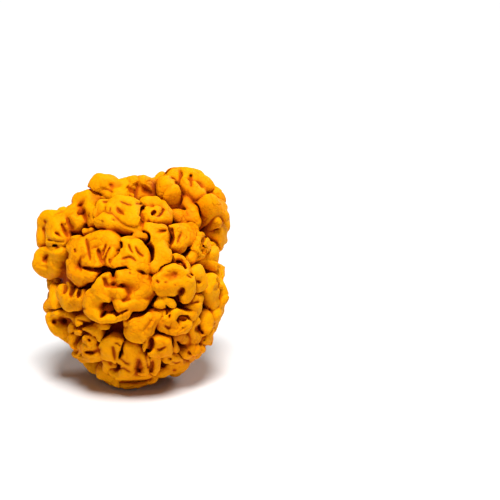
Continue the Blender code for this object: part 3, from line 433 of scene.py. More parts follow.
# Creases of the front: (half width, depth, [places]).
FRONT_CREASES = [
    # left shoulder
    (0.35, 0.5, [(-28.2, 19.4), (-27.8, 19.1)]),
    (0.35, 0.5, [(-28.6, 17.0), (-28.3, 16.5)]),
    (0.5, 1.4, [(-25.3, 11.9), (-23.5, 10.9)]),
    # left crown
    (0.35, 0.5, [(-13.6, 21.4), (-13.3, 20.9)]),
    (0.6, 0.9, [(-18.0, 24.8), (-16.0, 25.3)]),
    # wrinkles between crown and hood
    (0.45, 0.9, [(-8.2, 22.5), (-7.0, 21.8), (-5.5, 21.4)]),
    (0.4, 0.6, [(-7.8, 24.3), (-7.7, 22.5)]),
    (0.4, 0.5, [(-6.3, 23.5), (-6.2, 22.5)]),
    (0.6, 1.0, [(-9.0, 25.6), (-7.0, 25.6)]),
    (0.35, 0.5, [(-5.4, 19.9), (-5.0, 19.6)]),
    (0.35, 0.5, [(-8.8, 19.4), (-8.4, 19.1)]),
    # crown knob
    (0.5, 1.0, [(-6.4, 32.1), (-5.9, 31.9)]),
    (0.35, 0.5, [(-5.7, 29.7), (-5.2, 29.3)]),
    # top middle
    (0.35, 0.5, [(0.8, 28.5), (1.3, 28.3)]),
    # right crown
    (0.5, 1.0, [(15.3, 32.6), (15.7, 32.4)]),
    (0.5, 0.9, [(12.8, 34.2), (15.0, 33.8)]),
    # hood
    (0.6, 1.0, [(-3.5, 25.8), (-1.0, 25.0), (0.5, 25.0)]),
    (0.6, 0.8, [(-4.2, 23.7), (-3.5, 22.7), (-2.0, 21.6)]),
    (0.5, 1.1, [(1.5, 25.6), (4.0, 25.4)]),
    (0.5, 1.0, [(4.3, 24.2), (4.7, 24.0)]),
    # pitted curl
    (0.6, 1.2, [(8.5, 21.3), (10.0, 21.3), (11.0, 22.3), (11.7, 24.0)]),
    (0.35, 0.5, [(6.1, 20.3), (6.5, 19.9)]),
    # left middle
    (0.5, 1.5, [(-14.6, 13.8), (-14.1, 11.5), (-13.9, 9.5), (-13.5, 7.2)]),
    (0.55, 1.4, [(-8.0, 12.5), (-9.0, 10.0), (-9.2, 8.0)]),
    (0.55, 1.5, [(-6.5, 11.3), (-8.0, 9.0), (-8.5, 7.0), (-8.3, 5.5)]),
    (0.4, 0.9, [(-6.9, 6.8), (-6.8, 5.8)]),
    (0.6, 1.4, [(-8.3, 4.4), (-7.4, 3.7)]),
    (0.6, 1.1, [(-20.5, 8.4), (-20.4, 7.4)]),
    (0.5, 0.8, [(-18.0, 9.3), (-18.3, 10.8)]),
    (0.5, 0.8, [(-16.4, 8.6), (-17.0, 5.6), (-16.4, 2.6)]),
    # knuckles under the hood
    (0.55, 1.3, [(-0.3, 12.0), (0.5, 10.0), (1.2, 8.7)]),
    (0.55, 1.2, [(2.0, 11.3), (2.5, 9.8), (3.5, 8.7), (5.0, 8.0)]),
    (0.5, 1.1, [(-3.0, 6.8), (-1.5, 7.3), (-0.3, 7.6), (1.0, 7.2), (2.0, 6.3)]),
    (0.5, 0.6, [(-5.0, 3.9), (-3.0, 4.2), (-0.8, 4.9)]),
    (0.5, 1.6, [(-4.7, 9.6), (-3.3, 9.6)]),
    (0.5, 1.5, [(-2.8, 13.0), (-2.6, 11.0), (-3.2, 10.3)]),
    (0.5, 1.0, [(2.0, 3.0), (3.5, 2.7), (4.8, 2.0)]),
    (0.35, 0.5, [(-0.7, 2.5), (-0.3, 2.3)]),
    # left cheek
    (0.7, 1.5, [(-29.4, 5.6), (-28.2, 6.8), (-27.0, 8.4)]),
    # right bell
    (0.6, 0.8, [(17.4, 16.6), (16.4, 14.2), (15.8, 11.8)]),
    # arch and right bun
    (0.6, 1.6, [(15.0, 6.3), (17.0, 6.2), (18.0, 5.0), (18.0, 3.0)]),
    (0.35, 0.5, [(11.8, -0.8), (12.3, -1.0)]),
    (0.35, 0.5, [(14.8, -1.7), (15.2, -1.9)]),
    (0.5, 1.2, [(8.8, 0.0), (9.8, -1.3)]),
    # right ear
    (0.5, 1.2, [(21.8, 0.0), (22.6, -0.8), (23.3, -0.6)]),
    (0.5, 1.1, [(18.5, 1.5), (20.5, 0.3)]),
    (0.5, 1.0, [(19.5, 2.2), (21.0, 1.3)]),
    # centre knuckle
    (0.6, 1.2, [(-5.7, 3.0), (-5.5, 1.6), (-5.4, 0.4)]),
    (0.35, 0.5, [(-15.4, -9.5), (-15.0, -9.9)]),
    # left teeth
    (0.5, 1.1, [(-16.8, -4.2), (-16.8, -4.8)]),
    # left pouch
    (0.8, 1.8, [(-25.4, -14.5), (-23.6, -13.6), (-22.0, -13.0)]),
    # hump between pouch and jaw
    (0.5, 1.1, [(-17.8, -12.6), (-15.8, -13.2), (-13.7, -14.1)]),
    (0.5, 1.0, [(-17.0, -15.9), (-14.8, -17.0), (-12.4, -18.4)]),
    (0.5, 1.0, [(-20.4, -11.5), (-19.3, -13.7), (-17.9, -16.4)]),
    # left jaw
    (0.5, 1.1, [(-19.3, -22.2), (-17.4, -20.4), (-17.0, -18.9)]),
    (0.6, 1.3, [(-17.0, -23.0), (-18.3, -24.3)]),
    (0.5, 1.2, [(-13.2, -19.6), (-12.8, -19.9)]),
    # wedge and bends
    (0.6, 1.6, [(8.9, -5.0), (8.3, -7.3)]),
    (0.6, 1.4, [(15.3, -5.0), (15.8, -7.5), (17.0, -9.5)]),
    (0.6, 1.2, [(20.0, -8.0), (23.0, -7.3)]),
    # curl ribbon
    (0.6, 1.4, [(13.6, -11.5), (13.4, -13.3)]),
    (0.5, 1.2, [(11.7, -15.2), (13.0, -16.2), (14.0, -16.0)]),
    # right lower ear
    (0.5, 1.1, [(19.0, -23.8), (20.0, -24.5)]),
    # front flap
    (0.6, 1.2, [(8.5, -22.8), (9.5, -23.3), (12.0, -22.0)]),
    # bottom right
    (0.6, 1.2, [(13.5, -27.3), (15.0, -27.8), (16.5, -27.5)]),
    (0.5, 1.1, [(12.8, -26.1), (13.2, -26.3)]),
    (0.5, 1.0, [(14.6, -30.3), (15.0, -30.5)]),
    # bottom flap
    (0.5, 1.1, [(-5.4, -30.0), (-3.8, -29.0), (-2.1, -28.8), (-0.6, -29.6), (0.8, -30.4)]),
    (0.45, 0.9, [(-3.8, -25.8), (-1.7, -27.4), (0.2, -27.8)]),
    (0.45, 0.8, [(-2.1, -20.6), (-2.7, -23.2), (-2.4, -25.4)]),
    (0.5, 1.0, [(5.2, -22.6), (4.9, -25.2), (5.4, -28.0)]),
    # big bottom
    (0.5, 1.1, [(5.4, -27.8), (5.8, -28.8)]),
    (0.6, 1.7, [(-4.0, -34.0), (0.0, -33.7), (3.0, -33.5), (6.0, -33.0), (8.0, -32.5)]),
    # lower curl
    (0.5, 1.2, [(-5.0, -21.0), (-4.0, -21.3), (-3.0, -22.5)]),
    (0.5, 1.2, [(-7.2, -27.4), (-6.8, -27.7)]),
    (0.5, 1.1, [(-3.8, -27.9), (-3.4, -28.2)]),
    (0.5, 1.0, [(-3.3, -23.5), (-3.6, -26.0)]),
]

# The field's box, and the distance that stands in it before anything is added.
FIELD_LOW = (-37.0, -40.0, -37.0)
FIELD_HIGH = (37.5, 42.0, 35.0)
FIELD_START = 8.0
# How softly the core and a fold's strokes blend, how much strokes swell and how they narrow downwards.
CORE_BLEND = 1.6
STROKE_BLEND = 2.2
STROKE_MARGIN = 1.6
SWELL = 1.18
ROOT_TAPER = 0.22
# How folds made by rule vary.
FOLD_STRETCH = (0.78, 1.25)
FOLD_WANDER = 0.16
FOLD_THICKNESS = (0.95, 1.3)
# Grooves in the folds made by rule.
GROOVE_COUNTS = (0, 1, 1, 2)
GROOVE_STEPS = (-0.75, -0.3, 0.15, 0.6)
GROOVE_RADIUS = (0.7, 1.2)
GROOVE_DEPTH = (2.4, 4.2)
GROOVE_BEND = 0.5
GROOVE_SIDE = 0.35
GROOVE_LIFT = 0.5
GROOVE_MARGIN = 1.0
# The wavy measure that the folds are drawn in.
SWAY_WAVELENGTH = 5.5
SWAY_REACH = 0.75
# Lines pressed in from the front: shorter ones than this don't fade, and the eye shifts one this far.
SHORT_LINE = 1.2
PARALLAX = 4.0
# Hollows: how they blend, open and narrow, how far round them is worked on, and how dark the painted shade
# in them is.
HOLLOW_BLEND = 0.9
HOLLOW_FLARE = 0.6
HOLLOW_OPENING = 1.5
HOLLOW_POWER = 0.7
HOLLOW_ENDS = 0.5
HOLLOW_RANGE = 2.5
HOLLOW_BELOW = 2.0
HOLLOW_OVER = 6.0
HOLLOW_SHADE = 0.8
HOLLOW_SHADE_DEPTH = 2.5
HOLLOW_SHADE_WIDTH = 0.75
# Creases: the band of depths that they pull in, how sharp they are, and how wide their line of painted
# shade is.
CREASE_LEVEL = 3.0
CREASE_BAND = (7.0, 4.0)
CREASE_OVER = 9.0
CREASE_TAIL = 4.0
CREASE_SPREAD = 1.3
CREASE_GAIN = 0.95
CREASE_ENDS = 0.3
CREASE_LINE_WIDTH = 0.45
# Wrinkles everywhere: (wavelength, steepness); how wide they are, where they come and how dark the painted
# shade along them is.
BILLOWS = [(6.0, 7.0), (3.0, 3.2)]
BILLOW_TOP = 0.17
BILLOW_PATCHES = 1.5
BILLOW_STRENGTH = (0.45, 1.3)
BILLOW_LINE = 0.045
BILLOW_SHADE = 0.5
# They are weaker by this share on the front, from this far towards the eye.
FRONT_CALM = 0.35
FRONT_CALM_REACH = 16.0
# Dents and bumps everywhere: (wavelength, depth).
DENTS = [(5.0, 0.45), (3.0, 0.36), (1.7, 0.14), (2.2, 0.26)]
# The mesh has this many faces, and its painted shade and highlight look this far round each corner.
FACE_LIMIT = 196000
FINE_HOLLOW_REACH = 1.1
BROAD_HOLLOW_REACH = 3.6

MASSES = [(Vector(middle), Vector(half)) for middle, half in BODY_MASSES]
LEAN = Matrix.Rotation(math.pi / 2 - FRONT_LEAN, 3, "X")


def share_of(mass, point):
    """How far out a point is in a mass: 1 on its surface, less inside."""
    middle, half = mass
    return Vector(((point[i] - middle[i]) / half[i] for i in range(3))).length


def body_normal(point):
    """The body's outward normal at a point on its surface."""
    middle, half = min(MASSES, key=lambda mass: share_of(mass, point))
    return Vector(((point[i] - middle[i]) / half[i] ** 2 for i in range(3))).normalized()


def front_point(right, up, out):
    """The point seen at a place of the front, this far out from the body; past the outline, at the rim."""
    best = None
    for middle, half in MASSES:
        wide, high, deep = half.x + out, half.y + out, half.z + out
        inside = 1.0 - ((right - middle.x) / wide) ** 2 - ((up - middle.y) / high) ** 2
        if inside > RIM_DEPTH_SHARE**2:
            depth = middle.z + math.sqrt(inside) * deep
            best = depth if best is None else max(best, depth)
    if best is None:
        middle, half = min(
            MASSES,
            key=lambda mass: ((right - mass[0].x) / mass[1].x) ** 2 + ((up - mass[0].y) / mass[1].y) ** 2,
        )
        best = middle.z + RIM_DEPTH_SHARE * half.z
    nearer = best / EYE[2]
    return Vector((right + (EYE[0] - right) * nearer, up + (EYE[1] - up) * nearer, best))


def onto_body(point):
    """A point beside the body, moved straight to or from the nearest mass's middle onto its surface."""
    mass = min(MASSES, key=lambda mass: share_of(mass, point))
    return mass[0] + (point - mass[0]) / share_of(mass, point)


def table_height(point):
    """How far over the cut face a point is, in millimetres."""
    return (LEAN @ Vector(point)).z + BODY_MIDDLE[2] / MM


def bulged(crest, bulge, strokes):
    """Each stroke's radius, points and heights of its middle line, lower towards the fold's own edge."""
    everything = [p for _, points in strokes for p in points]
    middle = sum(everything, Vector()) / len(everything)
    reach = max((p - middle).length + radius for radius, points in strokes for p in points)
    for radius, points in strokes:
        yield radius, points, [crest - radius - bulge * ((p - middle).length / reach) ** 2 for p in points]


def front_folds(bulge):
    """The folds of the front: (list of strokes (radius, middle line, depths, normals), joined or not)."""
    for name, (crest, strokes) in FRONT_FOLDS.items():
        flat = []
        for radius, places in strokes:
            flat.append((radius * SWELL, [Vector((right, up, 0.0)) for right, up in places]))
        fold = []
        for radius, places, heights in bulged(crest + CREST_LIFT, bulge, flat):
            line = [front_point(p.x, p.y, height) for p, height in zip(places, heights)]
            fold.append((radius, line, [h + CORE_DEPTH for h in heights], [body_normal(p) for p in line]))
        yield fold, name in JOINED_FOLDS


def is_laid_out(point):
    """Whether the front's own folds already cover this point of the body."""
    if point.x > SHOULDER_FROM[0] and point.y > SHOULDER_FROM[1]:
        return False
    turned = LAID_OUT_RIGHT if point.x > RIGHT_FROM else LAID_OUT_ELSEWHERE
    if point.x < LEFT_FROM or point.y > CROWN_FROM:
        turned = LAID_OUT_LEFT_AND_CROWN
    return body_normal(point).z > turned


def fold_places(seed):
    """Places spread evenly over the masses by the golden angle, where the front's own folds end."""
    chance = random.Random(seed)
    golden_turn = math.pi * (3.0 - math.sqrt(5.0))
    taken = []
    for mass in MASSES:
        middle, half = mass
        area = 4.0 * math.pi * (half.x * half.y * half.z) ** (2.0 / 3.0)
        count = round(area / (ROW_SPACING * FOLD_SPACING**2))
        for i in range(count):
            up = 1.0 - 2.0 * (i + 0.5) / count
            ring = math.sqrt(1.0 - up * up)
            jitter = Vector([chance.uniform(-FOLD_SHIFT, FOLD_SHIFT) for _ in range(3)])
            direction = Vector((ring * math.cos(i * golden_turn), ring * math.sin(i * golden_turn), up))
            direction = (direction + jitter).normalized()
            place = middle + Vector((direction[k] * half[k] for k in range(3)))
            buried = any(share_of(other, place) < FOLD_BURIED for other in MASSES if other is not mass)
            crowded = any((place - other).length < FOLD_CROWDING * FOLD_SPACING for other in taken)
            if buried or crowded or is_laid_out(place) or table_height(place) < FOOT_CLEARANCE:
                continue
            taken.append(place)
    return taken


def scattered_folds(seed, bulge):
    """The folds by rule over the sides, back, crown and underside: pairs of (strokes, grooves in them)."""
    chance = random.Random(seed + 1)
    carver = random.Random(seed + 2)
    for middle in fold_places(seed):
        shape = FOLD_SHAPES[chance.choice(sorted(FOLD_SHAPES))]
        reach = chance.uniform(*FOLD_REACH)
        crest = chance.uniform(*FOLD_CREST)
        if middle.x < BEHIND_SHOULDER[0] and middle.y > BEHIND_SHOULDER[1]:
            if body_normal(middle).z > BEHIND_SHOULDER_TURNED:
                crest -= BEHIND_SHOULDER_DROP
        turn = chance.uniform(0.0, 2.0 * math.pi)
        normal = body_normal(middle)
        across = Matrix.Rotation(turn, 3, normal) @ normal.orthogonal().normalized() * reach
        along = normal.cross(across)
        stretch = chance.uniform(*FOLD_STRETCH)
        placed = []
        for thickness, line in shape:
            points = []
            for x, y in line:
                x = x * stretch + chance.uniform(-FOLD_WANDER, FOLD_WANDER)
                y = y / stretch + chance.uniform(-FOLD_WANDER, FOLD_WANDER)
                points.append(onto_body(middle + across * x + along * y))
            placed.append((thickness * reach * chance.uniform(*FOLD_THICKNESS), points))
        fold = []
        for radius, points, heights in bulged(crest, bulge, placed):
            normals = [body_normal(p) for p in points]
            line = [p + n * height for p, n, height in zip(points, normals, heights)]
            fold.append((radius, line, [h + CORE_DEPTH for h in heights], normals))
        grooves = []
        for _ in range(carver.choice(GROOVE_COUNTS)):
            bend = carver.uniform(-GROOVE_BEND, GROOVE_BEND)
            side = carver.uniform(-GROOVE_SIDE, GROOVE_SIDE)
            turned = Matrix.Rotation(carver.uniform(0.0, math.pi), 3, normal)
            forward, sideways = turned @ across, turned @ along
            points = []
            for s in GROOVE_STEPS:
                points.append(onto_body(middle + forward * s + sideways * (side + bend * s * s)))
            normals = [body_normal(p) for p in points]
            line = [p + n * (crest + GROOVE_LIFT) for p, n in zip(points, normals)]
            depths = [carver.uniform(*GROOVE_DEPTH)] * len(points)
            grooves.append((carver.uniform(*GROOVE_RADIUS), line, depths, normals))
        yield fold, grooves


def soft_min(a, b, blend):
    """The smaller of two distances, rounded where they are close."""
    share = np.clip(0.5 + 0.5 * (b - a) / blend, 0.0, 1.0)
    return b + (a - b) * share - blend * share * (1.0 - share)


def soft_noise(counts, cell, wavelength, chance):
    """Smooth random values, mostly from -1 to 1, over a grid: a coarse lattice blended by cubic splines."""
    values = chance.uniform(-1.9, 1.9, [int(n * cell / wavelength) + 5 for n in counts]).astype(np.float32)
    for axis in range(3):
        places = np.arange(counts[axis]) * cell / wavelength + 1.0
        base = np.floor(places).astype(int)
        s = (places - base).astype(np.float32)
        weights = [
            (1.0 - s) ** 3 / 6.0,
            (3.0 * s**3 - 6.0 * s**2 + 4.0) / 6.0,
            (-3.0 * s**3 + 3.0 * s**2 + 3.0 * s + 1.0) / 6.0,
            s**3 / 6.0,
        ]
        values = np.moveaxis(values, axis, 0)
        values = sum(w[:, None, None] * values[base - 1 + k] for k, w in enumerate(weights))
        values = np.moveaxis(values, 0, axis)
    return np.ascontiguousarray(values)


def wall_distance(places, radius, line, depths, normals, taper=ROOT_TAPER):
    """Distance from each place to one stroke: a wall, rounded at its crest and narrower at its root."""
    best = None
    for i in range(len(line) - 1):
        start, along = line[i], line[i + 1] - line[i]
        normal = (normals[i] + normals[i + 1]).normalized()
        depth = 0.5 * (depths[i] + depths[i + 1])
        q = [places[k] - start[k] for k in range(3)]
        share = np.clip(sum(q[k] * along[k] for k in range(3)) / along.length_squared, 0.0, 1.0)
        q = [q[k] - share * along[k] for k in range(3)]
        down = np.clip(-sum(q[k] * normal[k] for k in range(3)), 0.0, depth)
        square = sum((q[k] + down * normal[k]) ** 2 for k in range(3))
        distance = np.sqrt(square) - radius * (1.0 - taper * down / depth)
        best = distance if best is None else np.minimum(best, distance)
    return best


def line_distance(right, up, places):
    """For each place of the front, how far it is from a line and how far along the line it is nearest."""
    best = nearest = None
    for i in range(len(places) - 1):
        (x0, y0), (x1, y1) = places[i], places[i + 1]
        length = (x1 - x0) ** 2 + (y1 - y0) ** 2
        share = np.clip(((right - x0) * (x1 - x0) + (up - y0) * (y1 - y0)) / length, 0.0, 1.0)
        distance = np.hypot(right - x0 - share * (x1 - x0), up - y0 - share * (y1 - y0))
        if best is None:
            best, nearest = distance, i + share
        else:
            nearest = np.where(distance < best, i + share, nearest)
            best = np.minimum(best, distance)
    return best, nearest


def faded(nearest, places, least):
    """A strength along a line of places: full in its middle and the least at both ends."""
    steps = [math.dist(a, b) for a, b in zip(places, places[1:])]
    marks = np.concatenate([[0.0], np.cumsum(steps)])
    if marks[-1] < SHORT_LINE:
        return 1.0
    along = np.interp(nearest, np.arange(len(marks)), marks) / marks[-1]
    return least + (1.0 - least) * np.sqrt(4.0 * along * (1.0 - along))


class FoldField:
    """Distances to the fungus's surface, at the corners of small cubes in a box."""

    def __init__(self, cell, seed):
        self.cell = cell
        self.low = np.array(FIELD_LOW, np.float32)
        counts = np.ceil((np.array(FIELD_HIGH) - self.low) / cell).astype(int) + 1
        self.axes = [(self.low[k] + cell * np.arange(counts[k])).astype(np.float32) for k in range(3)]
        self.values = np.full(counts, FIELD_START, np.float32)
        self.pull = np.zeros(counts, np.float32)
        # Painted shade along hollows, creases and wrinkles, for the skin's colour.
        self.lines = np.zeros(counts, np.float32)
        self.chance = np.random.default_rng(seed)
        self.sway = [SWAY_REACH * self.noise(SWAY_WAVELENGTH) for _ in range(3)]

    def noise(self, wavelength):
        return soft_noise(self.values.shape, self.cell, wavelength, self.chance)

    def window(self, low, high):
        """The part of the grid between two corners, as slices."""
        first = np.floor((np.array(low) - self.low) / self.cell).astype(int)
        last = np.ceil((np.array(high) - self.low) / self.cell).astype(int) + 1
        return tuple(slice(max(0, a), max(0, min(b, n))) for a, b, n in zip(first, last, self.values.shape))

    def window_round(self, places, reach, deepest, nearest):
        """The part of the grid round places of the front, between two depths."""
        low, high = ([choose(p[k] for p in places) for k in range(2)] for choose in (min, max))
        return self.window([v - reach for v in low] + [deepest], [v + reach for v in high] + [nearest])

    def around(self, strokes, margin):
        """The part of the grid round some strokes, and its places in the wavy measure of the folds."""
        ends = []
        for radius, line, depths, normals in strokes:
            for point, depth, normal in zip(line, depths, normals):
                for end in (point, point - normal * depth):
                    ends += [end + Vector((s, s, s)) * (radius + margin) for s in (-1, 1)]
        low, high = ([choose(e[k] for e in ends) for k in range(3)] for choose in (min, max))
        part = self.window(low, high)
        shapes = [(-1, 1, 1), (1, -1, 1), (1, 1, -1)]
        return part, [self.axes[k][part[k]].reshape(shapes[k]) + self.sway[k][part] for k in range(3)]

    def add_fold(self, fold, gap, joined=False):
        """Adds a fold: parted by a gap from the folds that are already there, or run on into them."""
        part, places = self.around(fold, gap + STROKE_MARGIN + SWAY_REACH)
        distance = None
        for stroke in fold:
            wall = wall_distance(places, *stroke)
            distance = wall if distance is None else soft_min(distance, wall, STROKE_BLEND)
        if joined:
            self.values[part] = soft_min(self.values[part], distance, STROKE_BLEND)
        else:
            kept = np.maximum(self.values[part], gap - distance)
            self.values[part] = np.minimum(kept, distance)

    def cut_groove(self, groove):
        """Cuts a groove that narrows to its bottom into what is there."""
        part, places = self.around([groove], GROOVE_MARGIN + SWAY_REACH)
        distance = wall_distance(places, *groove, taper=1.0)
        self.values[part] = -soft_min(-self.values[part], distance, HOLLOW_BLEND)

    def add_core(self):
        """Closes the roots of the folds with the solid masses and the foot."""
        grid = np.meshgrid(*self.axes, indexing="ij", sparse=True)
        core = None
        for middle, half in MASSES:
            size = half - Vector((CORE_DEPTH, CORE_DEPTH, CORE_DEPTH))
            out = np.sqrt(sum(((grid[k] - middle[k]) / size[k]) ** 2 for k in range(3)))
            distance = (out - 1.0) * min(size)
            core = distance if core is None else np.minimum(core, distance)
        x, y, z = self.in_part(*grid)
        out = np.sqrt((x / FOOT_RADIUS) ** 2 + (y / FOOT_RADIUS) ** 2 + (z / FOOT_HEIGHT) ** 2)
        core = soft_min(core, (out - 1.0) * FOOT_RADIUS, CORE_BLEND)
        self.values = soft_min(self.values, core.astype(np.float32), CORE_BLEND)

    def in_part(self, right, up, toward):
        """Places of the front in the part's own frame, in millimetres."""
        return [
            LEAN[row][0] * right + LEAN[row][1] * up + LEAN[row][2] * toward + BODY_MIDDLE[row] / MM
            for row in range(3)
        ]

    def cut_flat(self):
        """Cuts everything off under the cut face."""
        grid = np.meshgrid(*self.axes, indexing="ij", sparse=True)
        self.values = np.maximum(self.values, -self.in_part(*grid)[2]).astype(np.float32)

    def skin_depth(self, right, up):
        """How far towards the eye the skin is at a place of the front."""
        nearer = self.axes[2] / EYE[2]
        i = np.rint((right + (EYE[0] - right) * nearer - self.low[0]) / self.cell).astype(int)
        j = np.rint((up + (EYE[1] - up) * nearer - self.low[1]) / self.cell).astype(int)
        solid = np.nonzero(self.values[i, j, np.arange(len(nearer))] < 0.0)[0]
        return self.axes[2][solid[-1]] if len(solid) else None

    def press_hollow(self, radius, depth, places):
        """Presses a hollow in from the front along a line of places."""
        tops = [self.skin_depth(*place) for place in places]
        tops = [t for t in tops if t is not None]
        if len(tops) < len(places):
            return
        tops = np.array(tops)
        reach = radius * HOLLOW_RANGE + PARALLAX
        part = self.window_round(places, reach, tops.min() - depth - HOLLOW_BELOW, tops.max() + HOLLOW_OVER)
        distance, nearest = line_distance(*self.swayed(part), places)
        top = np.interp(nearest, np.arange(len(tops)), tops)
        toward = self.axes[2][part[2]][None, None, :]
        down = (top - toward) / depth
        inside = (1.0 - np.clip(down, 0.0, 1.0)) ** HOLLOW_POWER
        width = radius * (inside + HOLLOW_FLARE * np.clip(-down, 0.0, HOLLOW_OPENING))
        width = width * faded(nearest, places, HOLLOW_ENDS)
        carve = width - distance - 2.0 * np.maximum(down - 1.0, 0.0) * depth
        kept = -soft_min(-self.values[part], -carve, HOLLOW_BLEND)
        self.values[part] = kept.astype(np.float32)
        # Painted shade in and round the hollow.
        shade = HOLLOW_SHADE * min(1.0, depth / HOLLOW_SHADE_DEPTH) * (down > -0.5)
        shade = shade * np.exp(-((distance / (HOLLOW_SHADE_WIDTH * radius)) ** 2))
        self.lines[part] = np.maximum(self.lines[part], shade)

    def press_crease(self, half_width, depth, places):
        """Draws the skin in along a line of the front, sharply in the middle and softly beside it."""
        reach = CREASE_TAIL * CREASE_SPREAD * half_width + PARALLAX
        toward = front_point(*places[len(places) // 2], CREASE_LEVEL).z
        part = self.window_round(places, reach, toward - CREASE_BAND[0], toward + CREASE_OVER)
        distance, nearest = line_distance(*self.swayed(part), places)
        fade = faded(nearest, places, CREASE_ENDS)
        band = (self.axes[2][part[2]] - toward + CREASE_BAND[0]) / (CREASE_BAND[0] - CREASE_BAND[1])
        band = fade * np.clip(band, 0.0, 1.0)[None, None, :]
        pull = np.exp(-distance / (CREASE_SPREAD * half_width)) - math.exp(-CREASE_TAIL)
        pull = np.clip(pull, 0.0, 1.0)
        self.pull[part] = np.maximum(self.pull[part], CREASE_GAIN * depth * pull * band)
        # A line of painted shade along the crease.
        line = np.exp(-((distance / CREASE_LINE_WIDTH) ** 2)) * band
        self.lines[part] = np.maximum(self.lines[part], line.astype(np.float32))

    def swayed(self, part):
        """How far right and up the eye sees the places of a part of the grid, in the wavy measure."""
        nearer = (self.axes[2][part[2]] / EYE[2])[None, None, :]
        right = self.axes[0][part[0]][:, None, None] + self.sway[0][part]
        up = self.axes[1][part[1]][None, :, None] + self.sway[1][part]
        return (right - EYE[0] * nearer) / (1.0 - nearer), (up - EYE[1] * nearer) / (1.0 - nearer)

    def pucker(self):
        """Adds the small creases and bumps that a dried skin has everywhere."""
        calm = 1.0 - FRONT_CALM * np.clip(self.axes[2] / FRONT_CALM_REACH, 0.0, 1.0)[None, None, :]
        for wavelength, depth in BILLOWS:
            swell = np.abs(self.noise(wavelength))
            patches = BILLOW_STRENGTH[0] + BILLOW_STRENGTH[1] * self.noise(BILLOW_PATCHES * wavelength)
            strength = np.clip(patches, 0.0, 1.0) * calm
            self.pull = np.maximum(self.pull, depth * strength * np.maximum(BILLOW_TOP - swell, 0.0))
            # Painted shade along the wrinkles.
            shade = np.exp(-((swell / BILLOW_LINE) ** 2)) * strength * BILLOW_SHADE
            self.lines = np.maximum(self.lines, shade)
        self.values += self.pull
        for wavelength, depth in DENTS:
            self.values += depth * self.noise(wavelength)

    def skin(self):
        """The surface as (corners in millimetres, four-sided faces): one corner in each cube it crosses."""
        f = self.values
        inside = f < 0.0
        n = np.array(f.shape) - 1
        total = np.zeros(n, np.int8)
        offsets = [(a, b, c) for a in (0, 1) for b in (0, 1) for c in (0, 1)]
        for a, b, c in offsets:
            total += inside[a : n[0] + a, b : n[1] + b, c : n[2] + c]
        active = (total > 0) & (total < 8)
        number = np.full(n, -1, np.int32)
        cells = np.argwhere(active)
        number[active] = np.arange(len(cells))
        sums = np.zeros((len(cells), 3), np.float32)
        hits = np.zeros(len(cells), np.float32)
        for a in offsets:
            for axis in range(3):
                if a[axis]:
                    continue
                b = tuple(a[k] + (k == axis) for k in range(3))
                fa = f[cells[:, 0] + a[0], cells[:, 1] + a[1], cells[:, 2] + a[2]]
                fb = f[cells[:, 0] + b[0], cells[:, 1] + b[1], cells[:, 2] + b[2]]
                crosses = (fa < 0.0) != (fb < 0.0)
                share = np.where(crosses, fa / np.where(crosses, fa - fb, 1.0), 0.0)
                for k in range(3):
                    sums[:, k] += np.where(crosses, a[k] + (share if k == axis else 0.0), 0.0)
                hits += crosses
        corners = (cells + sums / hits[:, None]) * self.cell + self.low
        faces = []
        for axis in range(3):
            one, two = [k for k in range(3) if k != axis]
            lower = [slice(None)] * 3
            upper = [slice(None)] * 3
            lower[axis] = slice(0, -1)
            upper[axis] = slice(1, None)
            crossing = inside[tuple(lower)] != inside[tuple(upper)]
            for k in (one, two):
                edge = [slice(None)] * 3
                edge[k] = slice(0, 1)
                crossing[tuple(edge)] = False
                edge[k] = slice(-1, None)
                crossing[tuple(edge)] = False
            spots = np.argwhere(crossing)
            ring = []
            for da, db in ((-1, -1), (0, -1), (0, 0), (-1, 0)):
                place = spots.copy()
                place[:, one] += da
                place[:, two] += db
                ring.append(number[place[:, 0], place[:, 1], place[:, 2]])
            quads = np.stack(ring, axis=1)
            outward = inside[spots[:, 0], spots[:, 1], spots[:, 2]]
            if axis == 1:
                outward = ~outward
            quads[~outward] = quads[~outward][:, ::-1]
            faces.append(quads)
        return corners, np.concatenate(faces)

    def sample(self, values, points):
        """Values of the grid at points, blended between its corners."""
        place = (points - self.low) / self.cell
        base = np.clip(np.floor(place).astype(int), 0, np.array(values.shape) - 2)
        share = place - base
        result = np.zeros(len(points), np.float32)
        for a in (0, 1):
            for b in (0, 1):
                for c in (0, 1):
                    weight = (
                        (share[:, 0] if a else 1.0 - share[:, 0])
                        * (share[:, 1] if b else 1.0 - share[:, 1])
                        * (share[:, 2] if c else 1.0 - share[:, 2])
                    )
                    result += weight * values[base[:, 0] + a, base[:, 1] + b, base[:, 2] + c]
        return result

    def crowding(self, reach):
        """How much of the space round each corner is flesh: half on flat skin, more in a fold."""
        solid = (self.values < 0.0).astype(np.float32)
        width = max(1, int(round(reach / self.cell)))
        for axis in range(3):
            for _ in range(2):
                solid = np.moveaxis(solid, axis, 0)
                padded = np.concatenate([np.zeros_like(solid[:1]), solid])
                total = np.cumsum(padded, axis=0, dtype=np.float32)
                top = np.clip(np.arange(len(solid)) + width + 1, 0, len(solid))
                bottom = np.clip(np.arange(len(solid)) - width, 0, len(solid))
                solid = (total[top] - total[bottom]) / (2 * width + 1)
                solid = np.moveaxis(solid, 0, axis)
        return solid


def outer_shell(corners, faces):
    """Only the largest connected piece of a surface, without the bubbles closed in between folds."""
    label = np.arange(len(corners))
    a = faces.ravel()
    b = np.roll(faces, 1, axis=1).ravel()
    while True:
        low = np.minimum(label[a], label[b])
        np.minimum.at(label, a, low)
        np.minimum.at(label, b, low)
        label = label[label]
        label = label[label]
        if (label[a] == label[b]).all():
            break
    counts = np.bincount(label)
    faces = faces[label[faces[:, 0]] == counts.argmax()]
    used = np.unique(faces)
    number = np.full(len(corners), -1)
    number[used] = np.arange(len(used))
    return corners[used], number[faces]


